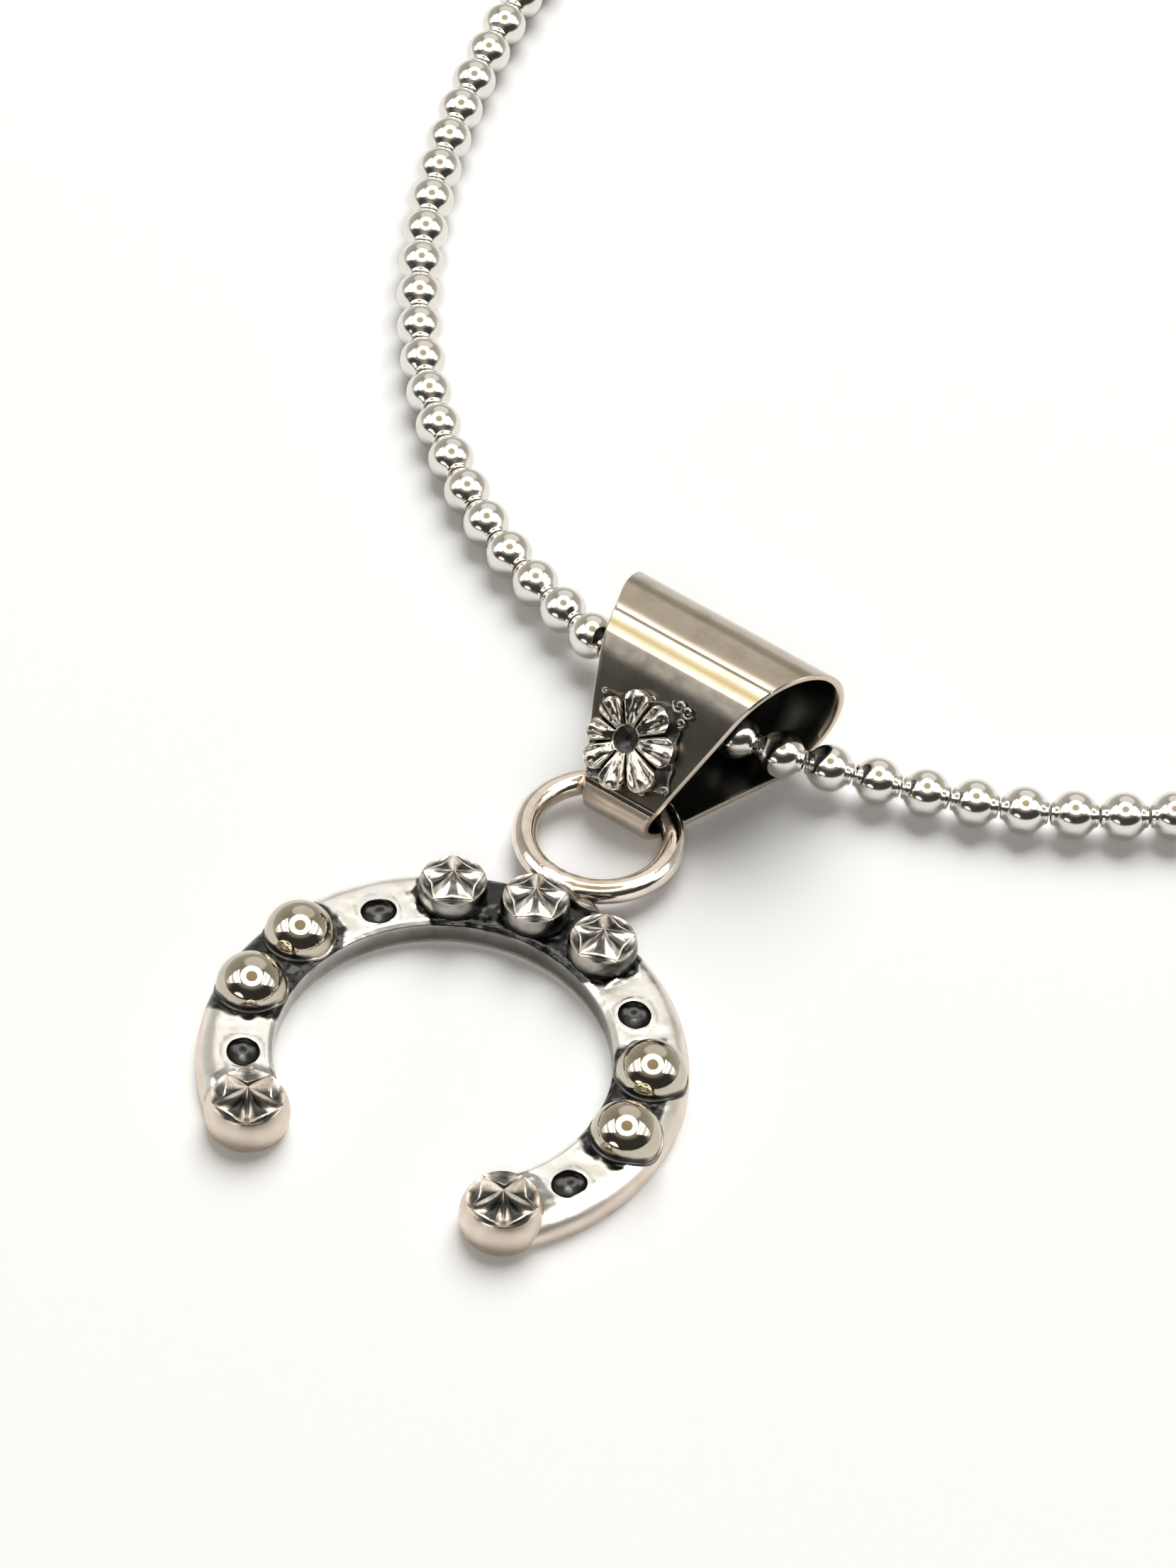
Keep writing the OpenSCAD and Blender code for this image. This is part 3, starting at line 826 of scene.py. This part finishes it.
def jump_ring(material):
    rings, soot_and_shade = [], []
    for a in around(RING_TURNS):
        ring = []
        near = smooth_step(0.93, 0.985, -math.cos(a - 0.12))
        for b in around(WIRE_SIDES):
            thick = WIRE_R * (1.0 + 0.012 * ripple(math.cos(a) * 4, math.sin(a) * 4, math.cos(b), 0.7))
            thick += 0.05 * near * (0.5 + ripple(math.sin(a) * 5, math.cos(b), math.sin(b), 1.7, 4.0))
            out = RING_R + thick * math.cos(b)
            ring.append(RING_CENTRE + Vector((out * math.sin(a), out * math.cos(a), thick * math.sin(b))))
            # Black on the wire's lower side toward the band is partly solder stain and partly painted shade
            # where the ring meets the band.
            soot_and_shade.append(0.6 * near * smooth_step(0.1, 0.7, math.cos(b)) * smooth_step(0.75, 0.2, math.sin(b)))
        rings.append(ring)
    points, faces = loft(rings + rings[:1], closed_ends=False)
    piece = make_piece("jump_ring", points, faces, material, soot_and_shade + soot_and_shade[:WIRE_SIDES])
    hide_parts("naja")
    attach(piece, "root")


def solder(material):
    lumps = []
    for place, size in SOLDER_LUMPS:
        rings = []
        for i in range(1, LUMP_ROWS):
            down = math.pi * i / LUMP_ROWS
            ring = []
            for a in around(LUMP_SIDES):
                way = Vector((math.sin(down) * math.cos(a), math.sin(down) * math.sin(a), math.cos(down)))
                swell = 1.0 + 0.22 * ripple(way.x + place[0], way.y + place[1], way.z, 1.3, 2.0)
                ring.append(Vector(place) + swell * way * Vector(size))
            rings.append(ring)
        lumps.append(loft(rings))
    points, faces = join(lumps)
    piece = make_piece("solder", points, faces, material, [0.72] * len(points))
    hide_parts("naja")
    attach(piece, "root")


wire_silver = silver_finish("wire_silver", (0.84, 0.765, 0.69, 1.0), 0.11, grain=3.0, dent=0.008, stain=0.5)
jump_ring(wire_silver)
solder(wire_silver)

# Bail. A strip of rolled silver sheet, bent round a rod into a wide tube for the string and pinched
# into a narrow fold that holds the ring. Its cut edges are bright, its inside is black, its front is
# darkened and stained. Two lines are scribed above the fold, and a crease runs along the tube.
# The tube carries a painted dark reflection band and a painted light band beside the crease.
SHEET_T, SHEET_EDGE = 0.43, 0.08
TUBE_R, FOLD_R, BAIL_REACH = 4.75, 1.41, 7.4
FOLD_HALF_W = 2.65
WIDEN_S, WIDEN_Z = 0.3561, 0.0817
LEFT_BOW = 0.48
BAIL_TURN = math.radians(-10.1)
FOLD_PLACE = Vector((0.85, 23.2, 0.0))
BAIL_SLOPE = 2 * math.atan2(TUBE_R - FOLD_R, BAIL_REACH)
FLAT_UP = Vector((math.cos(BAIL_SLOPE), math.sin(BAIL_SLOPE)))
FLAT_OUT = Vector((-math.sin(BAIL_SLOPE), math.cos(BAIL_SLOPE)))
FLAT_START = Vector((0.0, FOLD_R)) + FOLD_R * FLAT_OUT
SCRIBED, SCRIBED_HALF_W, SCRIBED_DEPTH = (0.12, 0.42), 0.06, 0.006
CREASE_TURN, CREASE_HALF_W, CREASE_DEPTH = 103.0, 0.013, 0.035
FOLD_STEPS, FLAT_STEPS, TUBE_STEPS, BACK_STEPS = 26, 24, 84, 20
STRIP_STEPS = 40


def in_bail(s, left, z):
    """A point by its distance from the fold towards the tube, to the left, and up."""
    ahead = Vector((-math.sin(BAIL_TURN), math.cos(BAIL_TURN), 0.0))
    side = Vector((-math.cos(BAIL_TURN), -math.sin(BAIL_TURN), 0.0))
    return FOLD_PLACE + ahead * s + side * left + Vector((0.0, 0.0, z))


def bail_loop():
    """The strip's path seen from its side: place, outward way, and the depth of a line or crease."""
    loop = []
    for k in range(FOLD_STEPS):
        a = -math.pi / 2 - (math.pi - BAIL_SLOPE) * k / FOLD_STEPS
        way = Vector((math.cos(a), math.sin(a)))
        loop.append((Vector((0.0, FOLD_R)) + FOLD_R * way, way, 0.0))
    tube = Vector((BAIL_REACH, TUBE_R))
    tube_top = tube + TUBE_R * FLAT_OUT
    length = (tube_top - FLAT_START).length
    stops = [0.0]
    for line in SCRIBED:
        stops += [line + SCRIBED_HALF_W * share for share in (-1.0, -0.5, 0.0, 0.5, 1.0)]
    stops += [0.6 + (length - 0.6) * k / FLAT_STEPS for k in range(FLAT_STEPS)]
    for stop in stops:
        depth = SCRIBED_DEPTH * max(1.0 - min(abs(stop - line) for line in SCRIBED) / SCRIBED_HALF_W, 0.0)
        loop.append((FLAT_START.lerp(tube_top, stop / length), FLAT_OUT, depth))
    crease = math.radians(CREASE_TURN)
    turns = [math.pi / 2 + BAIL_SLOPE - (math.pi + BAIL_SLOPE) * k / TUBE_STEPS for k in range(TUBE_STEPS)]
    turns = [a for a in turns if abs(a - crease) > CREASE_HALF_W + 0.002]
    turns += [crease + CREASE_HALF_W * share for share in (-1.0, -0.5, 0.0, 0.5, 1.0)]
    for a in sorted(turns, reverse=True):
        way = Vector((math.cos(a), math.sin(a)))
        depth = CREASE_DEPTH * max(1.0 - abs(a - crease) / CREASE_HALF_W, 0.0)
        loop.append((tube + TUBE_R * way, way, depth))
    loop += [(Vector((BAIL_REACH * (1.0 - k / BACK_STEPS), 0.0)), Vector((0.0, -1.0)), 0.0)
             for k in range(BACK_STEPS)]
    return loop


def outer_finish(place, way, on_flat):
    """Tarnish and soot on the strip's outer side: the dark front, the stains, the rubbed fold, and on the
    tube a painted dark reflection band and a painted light band by the crease.
    """
    front = 0.0 if on_flat or place.x >= -0.2 else -0.6
    stain = 0.0
    if on_flat:
        up = (place.y - FLAT_START.y) / math.sin(BAIL_SLOPE)
        stain = 0.65 * smooth_step(0.3, 0.7, up)
        front = 0.35 * smooth_step(0.05, 0.3, up) * smooth_step(8.4, 6.4, up)
        front -= 0.6 * smooth_step(0.1, 0.0, up)
    turned = math.degrees(math.atan2(way.y, way.x))
    # On the tube: a painted dark reflection band from about 110 to 118 degrees, a painted light band from 97
    # degrees up to the crease, and the front's stain from 122 degrees on.
    if place.x > BAIL_REACH - 4.0 and turned > 90.0:
        front = smooth_step(109.6, 112.2, turned) * smooth_step(118.2, 115.8, turned)
        front -= 0.5 * smooth_step(97.0, 102.0, turned) * (turned < CREASE_TURN)
        stain = max(stain, 0.67 * smooth_step(122.0, 125.0, turned))
    return front, stain


def bail_sheet():
    shares = [-1.0 + 2.0 * k / STRIP_STEPS for k in range(STRIP_STEPS + 1)]
    edge_depths = (SHEET_EDGE, SHEET_T * 0.5, SHEET_T - SHEET_EDGE)
    rings, soot_and_shade, tarnish_and_painted_light = [], [], []
    for place, way, line in bail_loop():
        half = FOLD_HALF_W + WIDEN_S * place.x + WIDEN_Z * place.y
        inside = place - way * SHEET_T
        half_in = FOLD_HALF_W + WIDEN_S * inside.x + WIDEN_Z * inside.y
        on_flat = way.y > 0.5 and way.x < -0.5 and place.x < BAIL_REACH - 2.0
        bow = LEFT_BOW * smooth_step(-1.2, 3.0, place.x) * smooth_step(11.0, 8.0, place.x) * (way.y > 0.0)
        bow *= 1.0 - 0.55 * smooth_step(4.0, 7.0, place.x)
        front, stain = outer_finish(place, way, on_flat)
        stain = max(stain, min(110.0 * line, 0.6))
        flat = [share * (1.0 - SHEET_EDGE / half) for share in shares]
        spots = [(share, line, stain, front) for share in flat]
        spots += [(1.0, depth, 0.0, -0.9) for depth in edge_depths]
        spots += [(share, SHEET_T, 0.35 + 0.45 * smooth_step(1.0, 0.93, abs(share)), 0.6)
                  for share in reversed(flat)]
        spots += [(-1.0, depth, 0.0, -0.9) for depth in reversed(edge_depths)]
        ring = []
        for share, depth, black, grey in spots:
            spot = place - way * depth
            wide = half + (half_in - half) * depth / SHEET_T
            left = share * wide + bow * max(share, 0.0)
            spot = spot + way * 0.02 * ripple(spot.x, spot.y, share * 4.0, 0.35, 8.0)
            ring.append(in_bail(spot.x, left, max(spot.y, 0.0)))
            soot_and_shade.append(black)
            tarnish_and_painted_light.append(grey)
        rings.append(ring)
    size = len(rings[0])
    points, faces = loft(rings + rings[:1], closed_ends=False)
    # The tarnished colour paints the tube's dark reflection band, and the rubbed colour its light band.
    material = silver_finish("sheet_silver", (0.46, 0.405, 0.325, 1.0), 0.15, dent=0.0018, stain=0.45,
                             brushed=((0.0, 0.0, -BAIL_TURN), (0.25, 14.0, 14.0)), ragged=0.12,
                             tarnished_and_shaded_to=(0.205, 0.17, 0.09, 1.0))
    piece = make_piece("bail_sheet", points, faces, material, soot_and_shade + soot_and_shade[:size], sharp=40,
                       tarnish_and_painted_light=tarnish_and_painted_light + tarnish_and_painted_light[:size])
    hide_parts("bail")
    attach(piece, "root")


bail_sheet()

# Rosette. A stamping of eight domed petals round an open eye, on a small square plate with curls at
# its corners, soldered to the bail's flat front. The plate and the grooves between the petals are
# left black. The petals are polished, with a painted dark reflection in their hollows, darker on the
# upper ones, and the lower ones are rubbed to a satin at their ends, lighter there as a painted
# sheen. The eye's floor is painted black as painted shade.
ROSETTE_UP, ROSETTE_LEFT = 3.62, 1.03
ROSETTE_R, EYE_R, EYE_RIM = 3.05, 0.74, 0.14
ROSETTE_STRETCH = 1.05
# The eye is a shallow dish, painted black as painted shade of a deep eye.
EYE_PROFILE = (
    # height over the plate, distance out
    (-0.26, 0.02), (-0.25, 0.22), (-0.23, 0.42), (-0.18, 0.62), (-0.05, 0.72), (0.04, 0.74), (0.24, 0.77),
    (0.30, 0.83),
)
PETAL_TURN = -8.0
PETAL_RISE = 0.66
PETAL_LENGTHS = (0.97, 1.02, 1.10, 1.10, 1.0, 0.92, 0.82, 0.88)
# How dark each petal's hollow is painted, as a painted dark reflection: darkest on the upper petals, from the
# top petal round to the right.
PETAL_PAINTED_SHADE = (0.74, 0.70, 0.66, 0.55, 0.5, 0.5, 0.64, 0.74)
# How far each petal's end is rubbed to a satin and lightened as a painted sheen, most on the lower petals.
PETAL_RUBBED_AND_SHEEN = (0.0, 0.2, 0.4, 1.0, 1.0, 0.8, 0.5, 0.2)
PETAL_SIDES, PETAL_ROWS = 28, 22
# On a petal: place across it from its middle or along it from the eye, width, height or depth.
PETAL_RIM, PETAL_SPOON, PETAL_LIP = (0.76, 0.10, 0.07), (0.42, 0.17, 0.10), (0.90, 0.05, 0.07)
PLATE_T = 0.28
PLATE_HALF, PLATE_CORNER = 2.74, 1.34
PLATE_TURN = math.radians(14.6)
PLATE_SHIFT = (0.58, 0.08)
PLATE_SIDES = 120
# The plate's middle, under the eye, is painted blacker than the rest as painted shade.
PLATE_PROFILE = (
    # share of the way out, height from the plate's top, soot
    (0.02, -0.22, 1.5), (0.1, -0.22, 1.5), (0.17, -0.19, 1.5), (0.22, -0.1, 1.5), (0.27, 0.0, 1.2),
    (0.6, 0.0, 1.0), (0.8, 0.0, 1.0), (0.93, 0.0, 0.9), (0.955, 0.035, 0.6), (0.975, 0.03, 0.45),
    (1.0, -0.1, 0.5), (1.0, -0.05 - PLATE_T, 0.9),
)
CURLS = (
    # right, up, turn, size, handedness
    (2.35, 2.75, 150.0, 0.46, 1.0),
    (2.95, 2.45, 200.0, 0.40, -1.0),
    (2.62, 1.75, 250.0, 0.30, 1.0),
    (-2.62, 2.62, 60.0, 0.20, 1.0),
    (0.55, 2.72, 30.0, 0.22, -1.0),
    (2.45, -2.45, 300.0, 0.28, 1.0),
    (1.05, -2.85, 20.0, 0.26, -1.0),
    (-2.55, -2.5, 120.0, 0.22, 1.0),
)
CURL_TURNS, CURL_STEPS, CURL_SIDES = 1.2, 40, 10


def on_front(up, right, lift):
    """A point on the bail's flat front: up along it, to the right of its middle, and out of it."""
    spot = FLAT_START + up * FLAT_UP + lift * FLAT_OUT
    return in_bail(spot.x, -right, spot.y)


def on_petal(step, share, nth):
    """A petal's distance out, height, soot and painted shade, and tarnish and painted sheen, by shares of its
    length and half width.
    """
    tip = ROSETTE_R * PETAL_LENGTHS[nth] * (1.0 - 0.22 * share ** 2.6)
    if step > 1.0:
        return tip, -0.2, 1.0, 0.0
    start = EYE_R + EYE_RIM
    out = start + (tip - start) * math.sin(math.pi / 2 * step)
    swell = math.sin(math.pi * min(0.12 + 0.80 * step, 1.0) ** 1.35) ** 0.7
    lift = (0.22 + (PETAL_RISE - 0.24) * swell) * max(1.0 - share ** 5.0, 0.0) ** 0.5
    hollowed = smooth_step(0.1, 0.45, step) * smooth_step(0.97, 0.85, step)
    lift += PETAL_RIM[2] * bell(share, PETAL_RIM[0], PETAL_RIM[1]) * smooth_step(0.05, 0.4, step)
    lift -= PETAL_SPOON[2] * bell(share, PETAL_SPOON[0], PETAL_SPOON[1]) * hollowed
    lift += PETAL_LIP[2] * bell(step, PETAL_LIP[0], PETAL_LIP[1]) * (1.0 - share)
    lift *= 1.0 - 0.8 * smooth_step(0.93, 1.0, step)
    # Black oxide in the grooves between petals, and a painted dark reflection down each petal's hollow,
    # darker on the upper petals.
    black = max(0.85 * smooth_step(0.88, 0.98, share),
                PETAL_PAINTED_SHADE[nth] * bell(share, PETAL_SPOON[0], 0.2) * hollowed)
    grey = 0.5 * smooth_step(0.35, 0.2, step)
    # Rubbed to a satin at the ends, and lighter there as a painted sheen, most on the lower petals.
    grey -= PETAL_RUBBED_AND_SHEEN[nth] * smooth_step(0.55, 0.8, step) * smooth_step(0.8, 0.5, share)
    return out, lift, black, grey


def petals(material):
    rings, soot_and_shade, tarnish_and_painted_light = [], [], []
    half = 180.0 / len(PETAL_LENGTHS)
    eye_rows = len(EYE_PROFILE)
    for row in range(eye_rows + PETAL_ROWS + 2):
        ring = []
        for a in around(len(PETAL_LENGTHS) * PETAL_SIDES):
            from_edge = math.degrees(a) + half
            nth = int(from_edge // (2 * half)) % len(PETAL_LENGTHS)
            share = abs(from_edge % (2 * half) - half) / half
            if row < eye_rows:
                lift, out = EYE_PROFILE[row]
                lift -= 0.05 * share if row > 5 else 0.0
                # The eye's floor is painted black, as painted shade of a deep eye.
                black, grey = 1.5 if row < 5 else 0.3, 0.0
            else:
                out, lift, black, grey = on_petal((row - eye_rows) / PETAL_ROWS, share, nth)
            b = a + math.radians(PETAL_TURN)
            x, y = out * math.sin(b), out * math.cos(b)
            if row > 5:
                lift += 0.04 * ripple(x, y, 0.0, 2.2, 6.0) + 0.018 * ripple(x, y, 0.0, 4.8, 2.0)
            ring.append(on_front(ROSETTE_UP + ROSETTE_STRETCH * y, -ROSETTE_LEFT + x, PLATE_T + lift))
            soot_and_shade.append(black)
            tarnish_and_painted_light.append(grey)
        rings.append(ring)
    points, faces = loft(rings)
    piece = make_piece("rosette_petals", points, faces, material, soot_and_shade, sharp=60, tarnish_and_painted_light=tarnish_and_painted_light)
    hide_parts("bail")
    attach(piece, "root")


def on_plate(x, y, lift):
    """A point by its place on the rosette's plate and its height from the plate's top."""
    c, s = math.cos(PLATE_TURN), math.sin(PLATE_TURN)
    right = -ROSETTE_LEFT + PLATE_SHIFT[0] + c * x - s * y
    up = ROSETTE_UP + PLATE_SHIFT[1] + s * x + c * y
    return on_front(up, right, PLATE_T + lift)


def curl(x, y, spin, size, hand):
    """A spiral of wire that lies on the plate."""
    c, s = math.cos(math.radians(spin)), math.sin(math.radians(spin))
    rings = []
    for i in range(CURL_STEPS + 1):
        step = i / CURL_STEPS
        a = CURL_TURNS * 2 * math.pi * step
        fat = 0.30 * size * (0.55 + 0.45 * math.sin(math.pi * min(step * 1.15, 1.0)))
        ring = []
        for b in around(CURL_SIDES):
            out = size * (1.0 - 0.72 * step) + fat * math.cos(b)
            p = Vector((out * math.cos(a), out * math.sin(a)))
            ring.append(on_plate(x + (c * p.x - s * p.y) * hand, y + s * p.x + c * p.y,
                                 0.03 + fat * math.sin(b)))
        rings.append(ring)
    return loft(rings)


def rosette_plate(material):
    rings, soot_and_shade = [], []
    for out_share, lift, black in PLATE_PROFILE:
        ring = []
        for a in around(PLATE_SIDES):
            square = 1.0 / max(abs(math.cos(a)), abs(math.sin(a)))
            corner = min(square, PLATE_CORNER) if out_share > 0.3 else 1.0
            wave = 1.0 + 0.02 * math.cos(16 * a) * smooth_step(0.3, 0.6, out_share)
            out = PLATE_HALF * corner * wave * out_share
            x, y = out * math.cos(a), out * math.sin(a)
            dent = 0.05 * ripple(x, y, 0.0, 1.6, 11.0) if 0.3 < out_share < 0.95 else 0.0
            ring.append(on_plate(x, y, lift + dent))
            soot_and_shade.append(black)
        rings.append(ring)
    points, faces = join([loft(rings)] + [curl(*place) for place in CURLS])
    soot_and_shade += [0.5] * (len(points) - len(soot_and_shade))
    piece = make_piece("rosette_plate", points, faces, material, soot_and_shade, sharp=50)
    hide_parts("bail")
    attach(piece, "root")


# Its rubbed colour is lighter than the petals' own, a painted sheen on the lower petals' ends.
petal_silver = silver_finish("petal_silver", (0.57, 0.53, 0.47, 1.0), 0.13, grain=3.5, dent=0.009, stain=0.7,
                             rubbed_and_sheen_to=(0.80, 0.70, 0.61, 1.0))
petals(petal_silver)
rosette_plate(petal_silver)

# String of beads. Hollow round silver beads of one size, highly polished, with a small lip round
# each hole, threaded side by side on a closed loop. They lie on the table and rise a little through
# the bail.
ROUTE = (
    (4, 30.4, 2.35), (8, 30.2, 2.4), (13, 31.8, 1.5), (21, 33, 1.5), (30, 37, 1.5), (39, 43.5, 1.5),
    (51.5, 54.5, 1.5), (62.5, 69, 1.5), (70, 87.5, 1.5), (73, 108, 1.5), (71, 129, 1.5),
    (64, 148.5, 1.5), (51, 164, 1.5), (33.5, 174, 1.5), (13.5, 176.5, 1.5), (-5.5, 171, 1.5),
    (-21, 158, 1.5), (-30.5, 140, 1.5), (-35.5, 119, 1.5), (-37, 101.5, 1.5), (-37, 86, 1.5),
    (-35.5, 73.5, 1.5), (-32.5, 62.5, 1.5), (-27, 50.5, 1.5), (-18.5, 41, 1.5),
    (-11.5, 36.7, 1.5), (-7, 34.2, 2.2), (-3, 32.1, 2.45),
)
ROUTE_STEPS = 16
HEADING_SPAN = 0.4
BEAD_R, BEAD_PITCH, BEAD_HOLE = 1.46, 3.03, 0.5
BEAD_SIDES, BEAD_ROWS = 26, 12
LIP_R = 0.785
HOLE_LIP = (
    # how much wider than the hole, height from the bead's middle
    (-0.02, 0.9), (0.0, 1.38), (0.05, 1.45), (0.13, 1.455), (0.19, 1.42), (0.22, 1.35), (0.25, 1.275),
)
FIRST_BEAD = 1.3
CLASP_PLACES, CLASP_SHARE = 3, 0.5


def route_points():
    """Points along the closed curve that the control points pull."""
    control = [Vector(p) for p in ROUTE]
    points = []
    for i in range(len(control)):
        a, b, c, d = (control[(i + k) % len(control)] for k in (-1, 0, 1, 2))
        for k in range(ROUTE_STEPS):
            t = k / ROUTE_STEPS
            points.append(((1 - t) ** 3 * a + (3 * t ** 3 - 6 * t * t + 4) * b
                           + (-3 * t ** 3 + 3 * t * t + 3 * t + 1) * c + t ** 3 * d) / 6)
    return points


route = route_points()
so_far = [0.0]
for here, there in zip(route, route[1:] + route[:1]):
    so_far.append(so_far[-1] + (there - here).length)
loop_length = so_far[-1]
bead_places = round(loop_length / BEAD_PITCH)
bead_pitch = loop_length / bead_places
clasp_first = math.floor(bead_places * CLASP_SHARE)


def along_route(distance):
    """The place at a distance along the loop."""
    distance %= loop_length
    nth = bisect_right(so_far, distance, 0, len(route)) - 1
    share = (distance - so_far[nth]) / (so_far[nth + 1] - so_far[nth])
    return route[nth].lerp(route[(nth + 1) % len(route)], share)


def heading(distance):
    return (along_route(distance + HEADING_SPAN) - along_route(distance - HEADING_SPAN)).normalized()


def one_bead(material):
    """A bead with its hole along Z."""
    lip = [(BEAD_HOLE + wider, z) for wider, z in HOLE_LIP]
    start = math.asin(LIP_R / BEAD_R)
    downs = [start + (math.pi - 2 * start) * k / BEAD_ROWS for k in range(BEAD_ROWS + 1)]
    profile = lip + [(BEAD_R * math.sin(a), BEAD_R * math.cos(a)) for a in downs]
    profile += [(r, -z) for r, z in reversed(lip)]
    rings = [[Vector((r * math.cos(a), r * math.sin(a), z)) for a in around(BEAD_SIDES)]
             for r, z in profile]
    points, faces = loft(rings + rings[:1], closed_ends=False)
    soot_and_shade = [0.9 if i // BEAD_SIDES in (0, len(profile) - 1) else 0.0 for i in range(len(points))]
    return make_piece("one_bead", points, faces, material, soot_and_shade)


def beads():
    material = silver_finish("bead_silver", (0.77, 0.745, 0.70, 1.0), 0.14, grain=1.5, dent=0.006, stain=0.15)
    spots = [FIRST_BEAD + i * bead_pitch for i in range(bead_places)
             if i < clasp_first or i >= clasp_first + CLASP_PLACES]
    piece = set_out("beads", one_bead(material), [along_route(spot) for spot in spots],
                    [heading(spot) for spot in spots], material, along=True)
    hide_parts("bead_string")
    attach(piece, "root")


beads()

# Thread. Three strands of nylon twisted into a round cord, which runs through every bead and the
# clasp. It shows only as a dark line in the gaps.
STRANDS, STRAND_SIDES = 3, 6
STRAND_R, STRAND_OFF = 0.13, 0.14
TWIST_LENGTH = 1.6
THREAD_STEP = 0.4
THREAD_DARK, THREAD_PALE = (0.30, 0.29, 0.27, 1.0), (0.62, 0.60, 0.56, 1.0)


def across_route(way):
    """The level direction across the string, and the upright one, for a heading."""
    side = Vector((0.0, 0.0, 1.0)).cross(way).normalized()
    return side, way.cross(side)


def twisted_nylon():
    material = bpy.data.materials.new("twisted_thread")
    material.use_nodes = True
    tree = material.node_tree
    shader = tree.nodes["Principled BSDF"]
    place = add_node(tree, "ShaderNodeTexCoord").outputs["Object"]
    tone = mixed(tree, clouds(tree, place, 9000.0, 3.0), THREAD_DARK, THREAD_PALE)
    tree.links.new(tone, shader.inputs["Base Color"])
    shader.inputs["Roughness"].default_value = 0.75
    return material


def thread():
    steps = round(loop_length / THREAD_STEP)
    twists = round(loop_length / TWIST_LENGTH)
    strands = []
    for strand in range(STRANDS):
        rings = []
        for i in range(steps):
            distance = loop_length * i / steps
            side, up = across_route(heading(distance))
            a = 2 * math.pi * (twists * i / steps + strand / STRANDS)
            middle = along_route(distance) + STRAND_OFF * (math.cos(a) * side + math.sin(a) * up)
            rings.append([middle + STRAND_R * (math.cos(b) * side + math.sin(b) * up)
                          for b in around(STRAND_SIDES)])
        strands.append(loft(rings + rings[:1], closed_ends=False))
    points, faces = join(strands)
    piece = make_piece("three_strand_thread", points, faces, twisted_nylon())
    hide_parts("thread")
    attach(piece, "root")


thread()

# Clasp. A turned silver barrel that screws together in the middle, opposite the bail. Each half has
# a milled grip and a collar where the string goes in.
CLASP_R, CLASP_HOLE, CLASP_PLAY = 1.5, 0.75, 0.3
GROOVE_R, GRIP_R = 1.42, 1.44
CLASP_SIDES = 96
CLASP_END = (
    # radius, distance from the end
    (CLASP_HOLE, 0.4), (CLASP_HOLE, 0.04), (CLASP_HOLE + 0.06, 0.0), (0.97, 0.0), (1.04, 0.06), (1.05, 0.30),
    (1.0, 0.36), (1.0, 0.52), (1.05, 0.58), (1.06, 0.72), (1.34, 0.80), (1.46, 0.92), (CLASP_R, 1.10),
    (CLASP_R, 1.20), (GROOVE_R, 1.28), (GROOVE_R, 1.34), (GRIP_R, 1.40),
)
CLASP_MIDDLE = (
    # radius, distance from the middle
    (GRIP_R, 1.05), (GROOVE_R, 1.0), (GROOVE_R, 0.92), (CLASP_R, 0.85), (CLASP_R, 0.08), (1.43, 0.02),
)


def clasp():
    middle = FIRST_BEAD + (clasp_first + (CLASP_PLACES - 1) / 2) * bead_pitch
    half = ((CLASP_PLACES + 1) * bead_pitch - 2 * BEAD_R - CLASP_PLAY) / 2
    way = heading(middle)
    side, up = across_route(way)
    profile = [(r, z - half) for r, z in CLASP_END] + [(r, -z) for r, z in CLASP_MIDDLE]
    profile += [(r, -z) for r, z in reversed(profile)]
    rings = []
    for r, z in profile:
        ring = []
        for k, a in enumerate(around(CLASP_SIDES)):
            milled = (0.05 if k % 4 < 2 else -0.03) if r == GRIP_R else 0.0
            out = math.cos(a) * side + math.sin(a) * up
            ring.append(along_route(middle) + way * z + (r + milled) * out)
        rings.append(ring)
    points, faces = loft(rings + rings[:1], closed_ends=False)
    material = silver_finish("clasp_silver", (0.88, 0.85, 0.80, 1.0), 0.14, grain=3.0, dent=0.004, stain=0.3)
    soot_and_shade = [0.8 if r == GROOVE_R else 0.0 for r, _ in profile + profile[-1:] for _ in range(CLASP_SIDES)]
    piece = make_piece("barrel_clasp", points, faces, material, soot_and_shade, sharp=30)
    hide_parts("clasp")
    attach(piece, "root")


clasp()
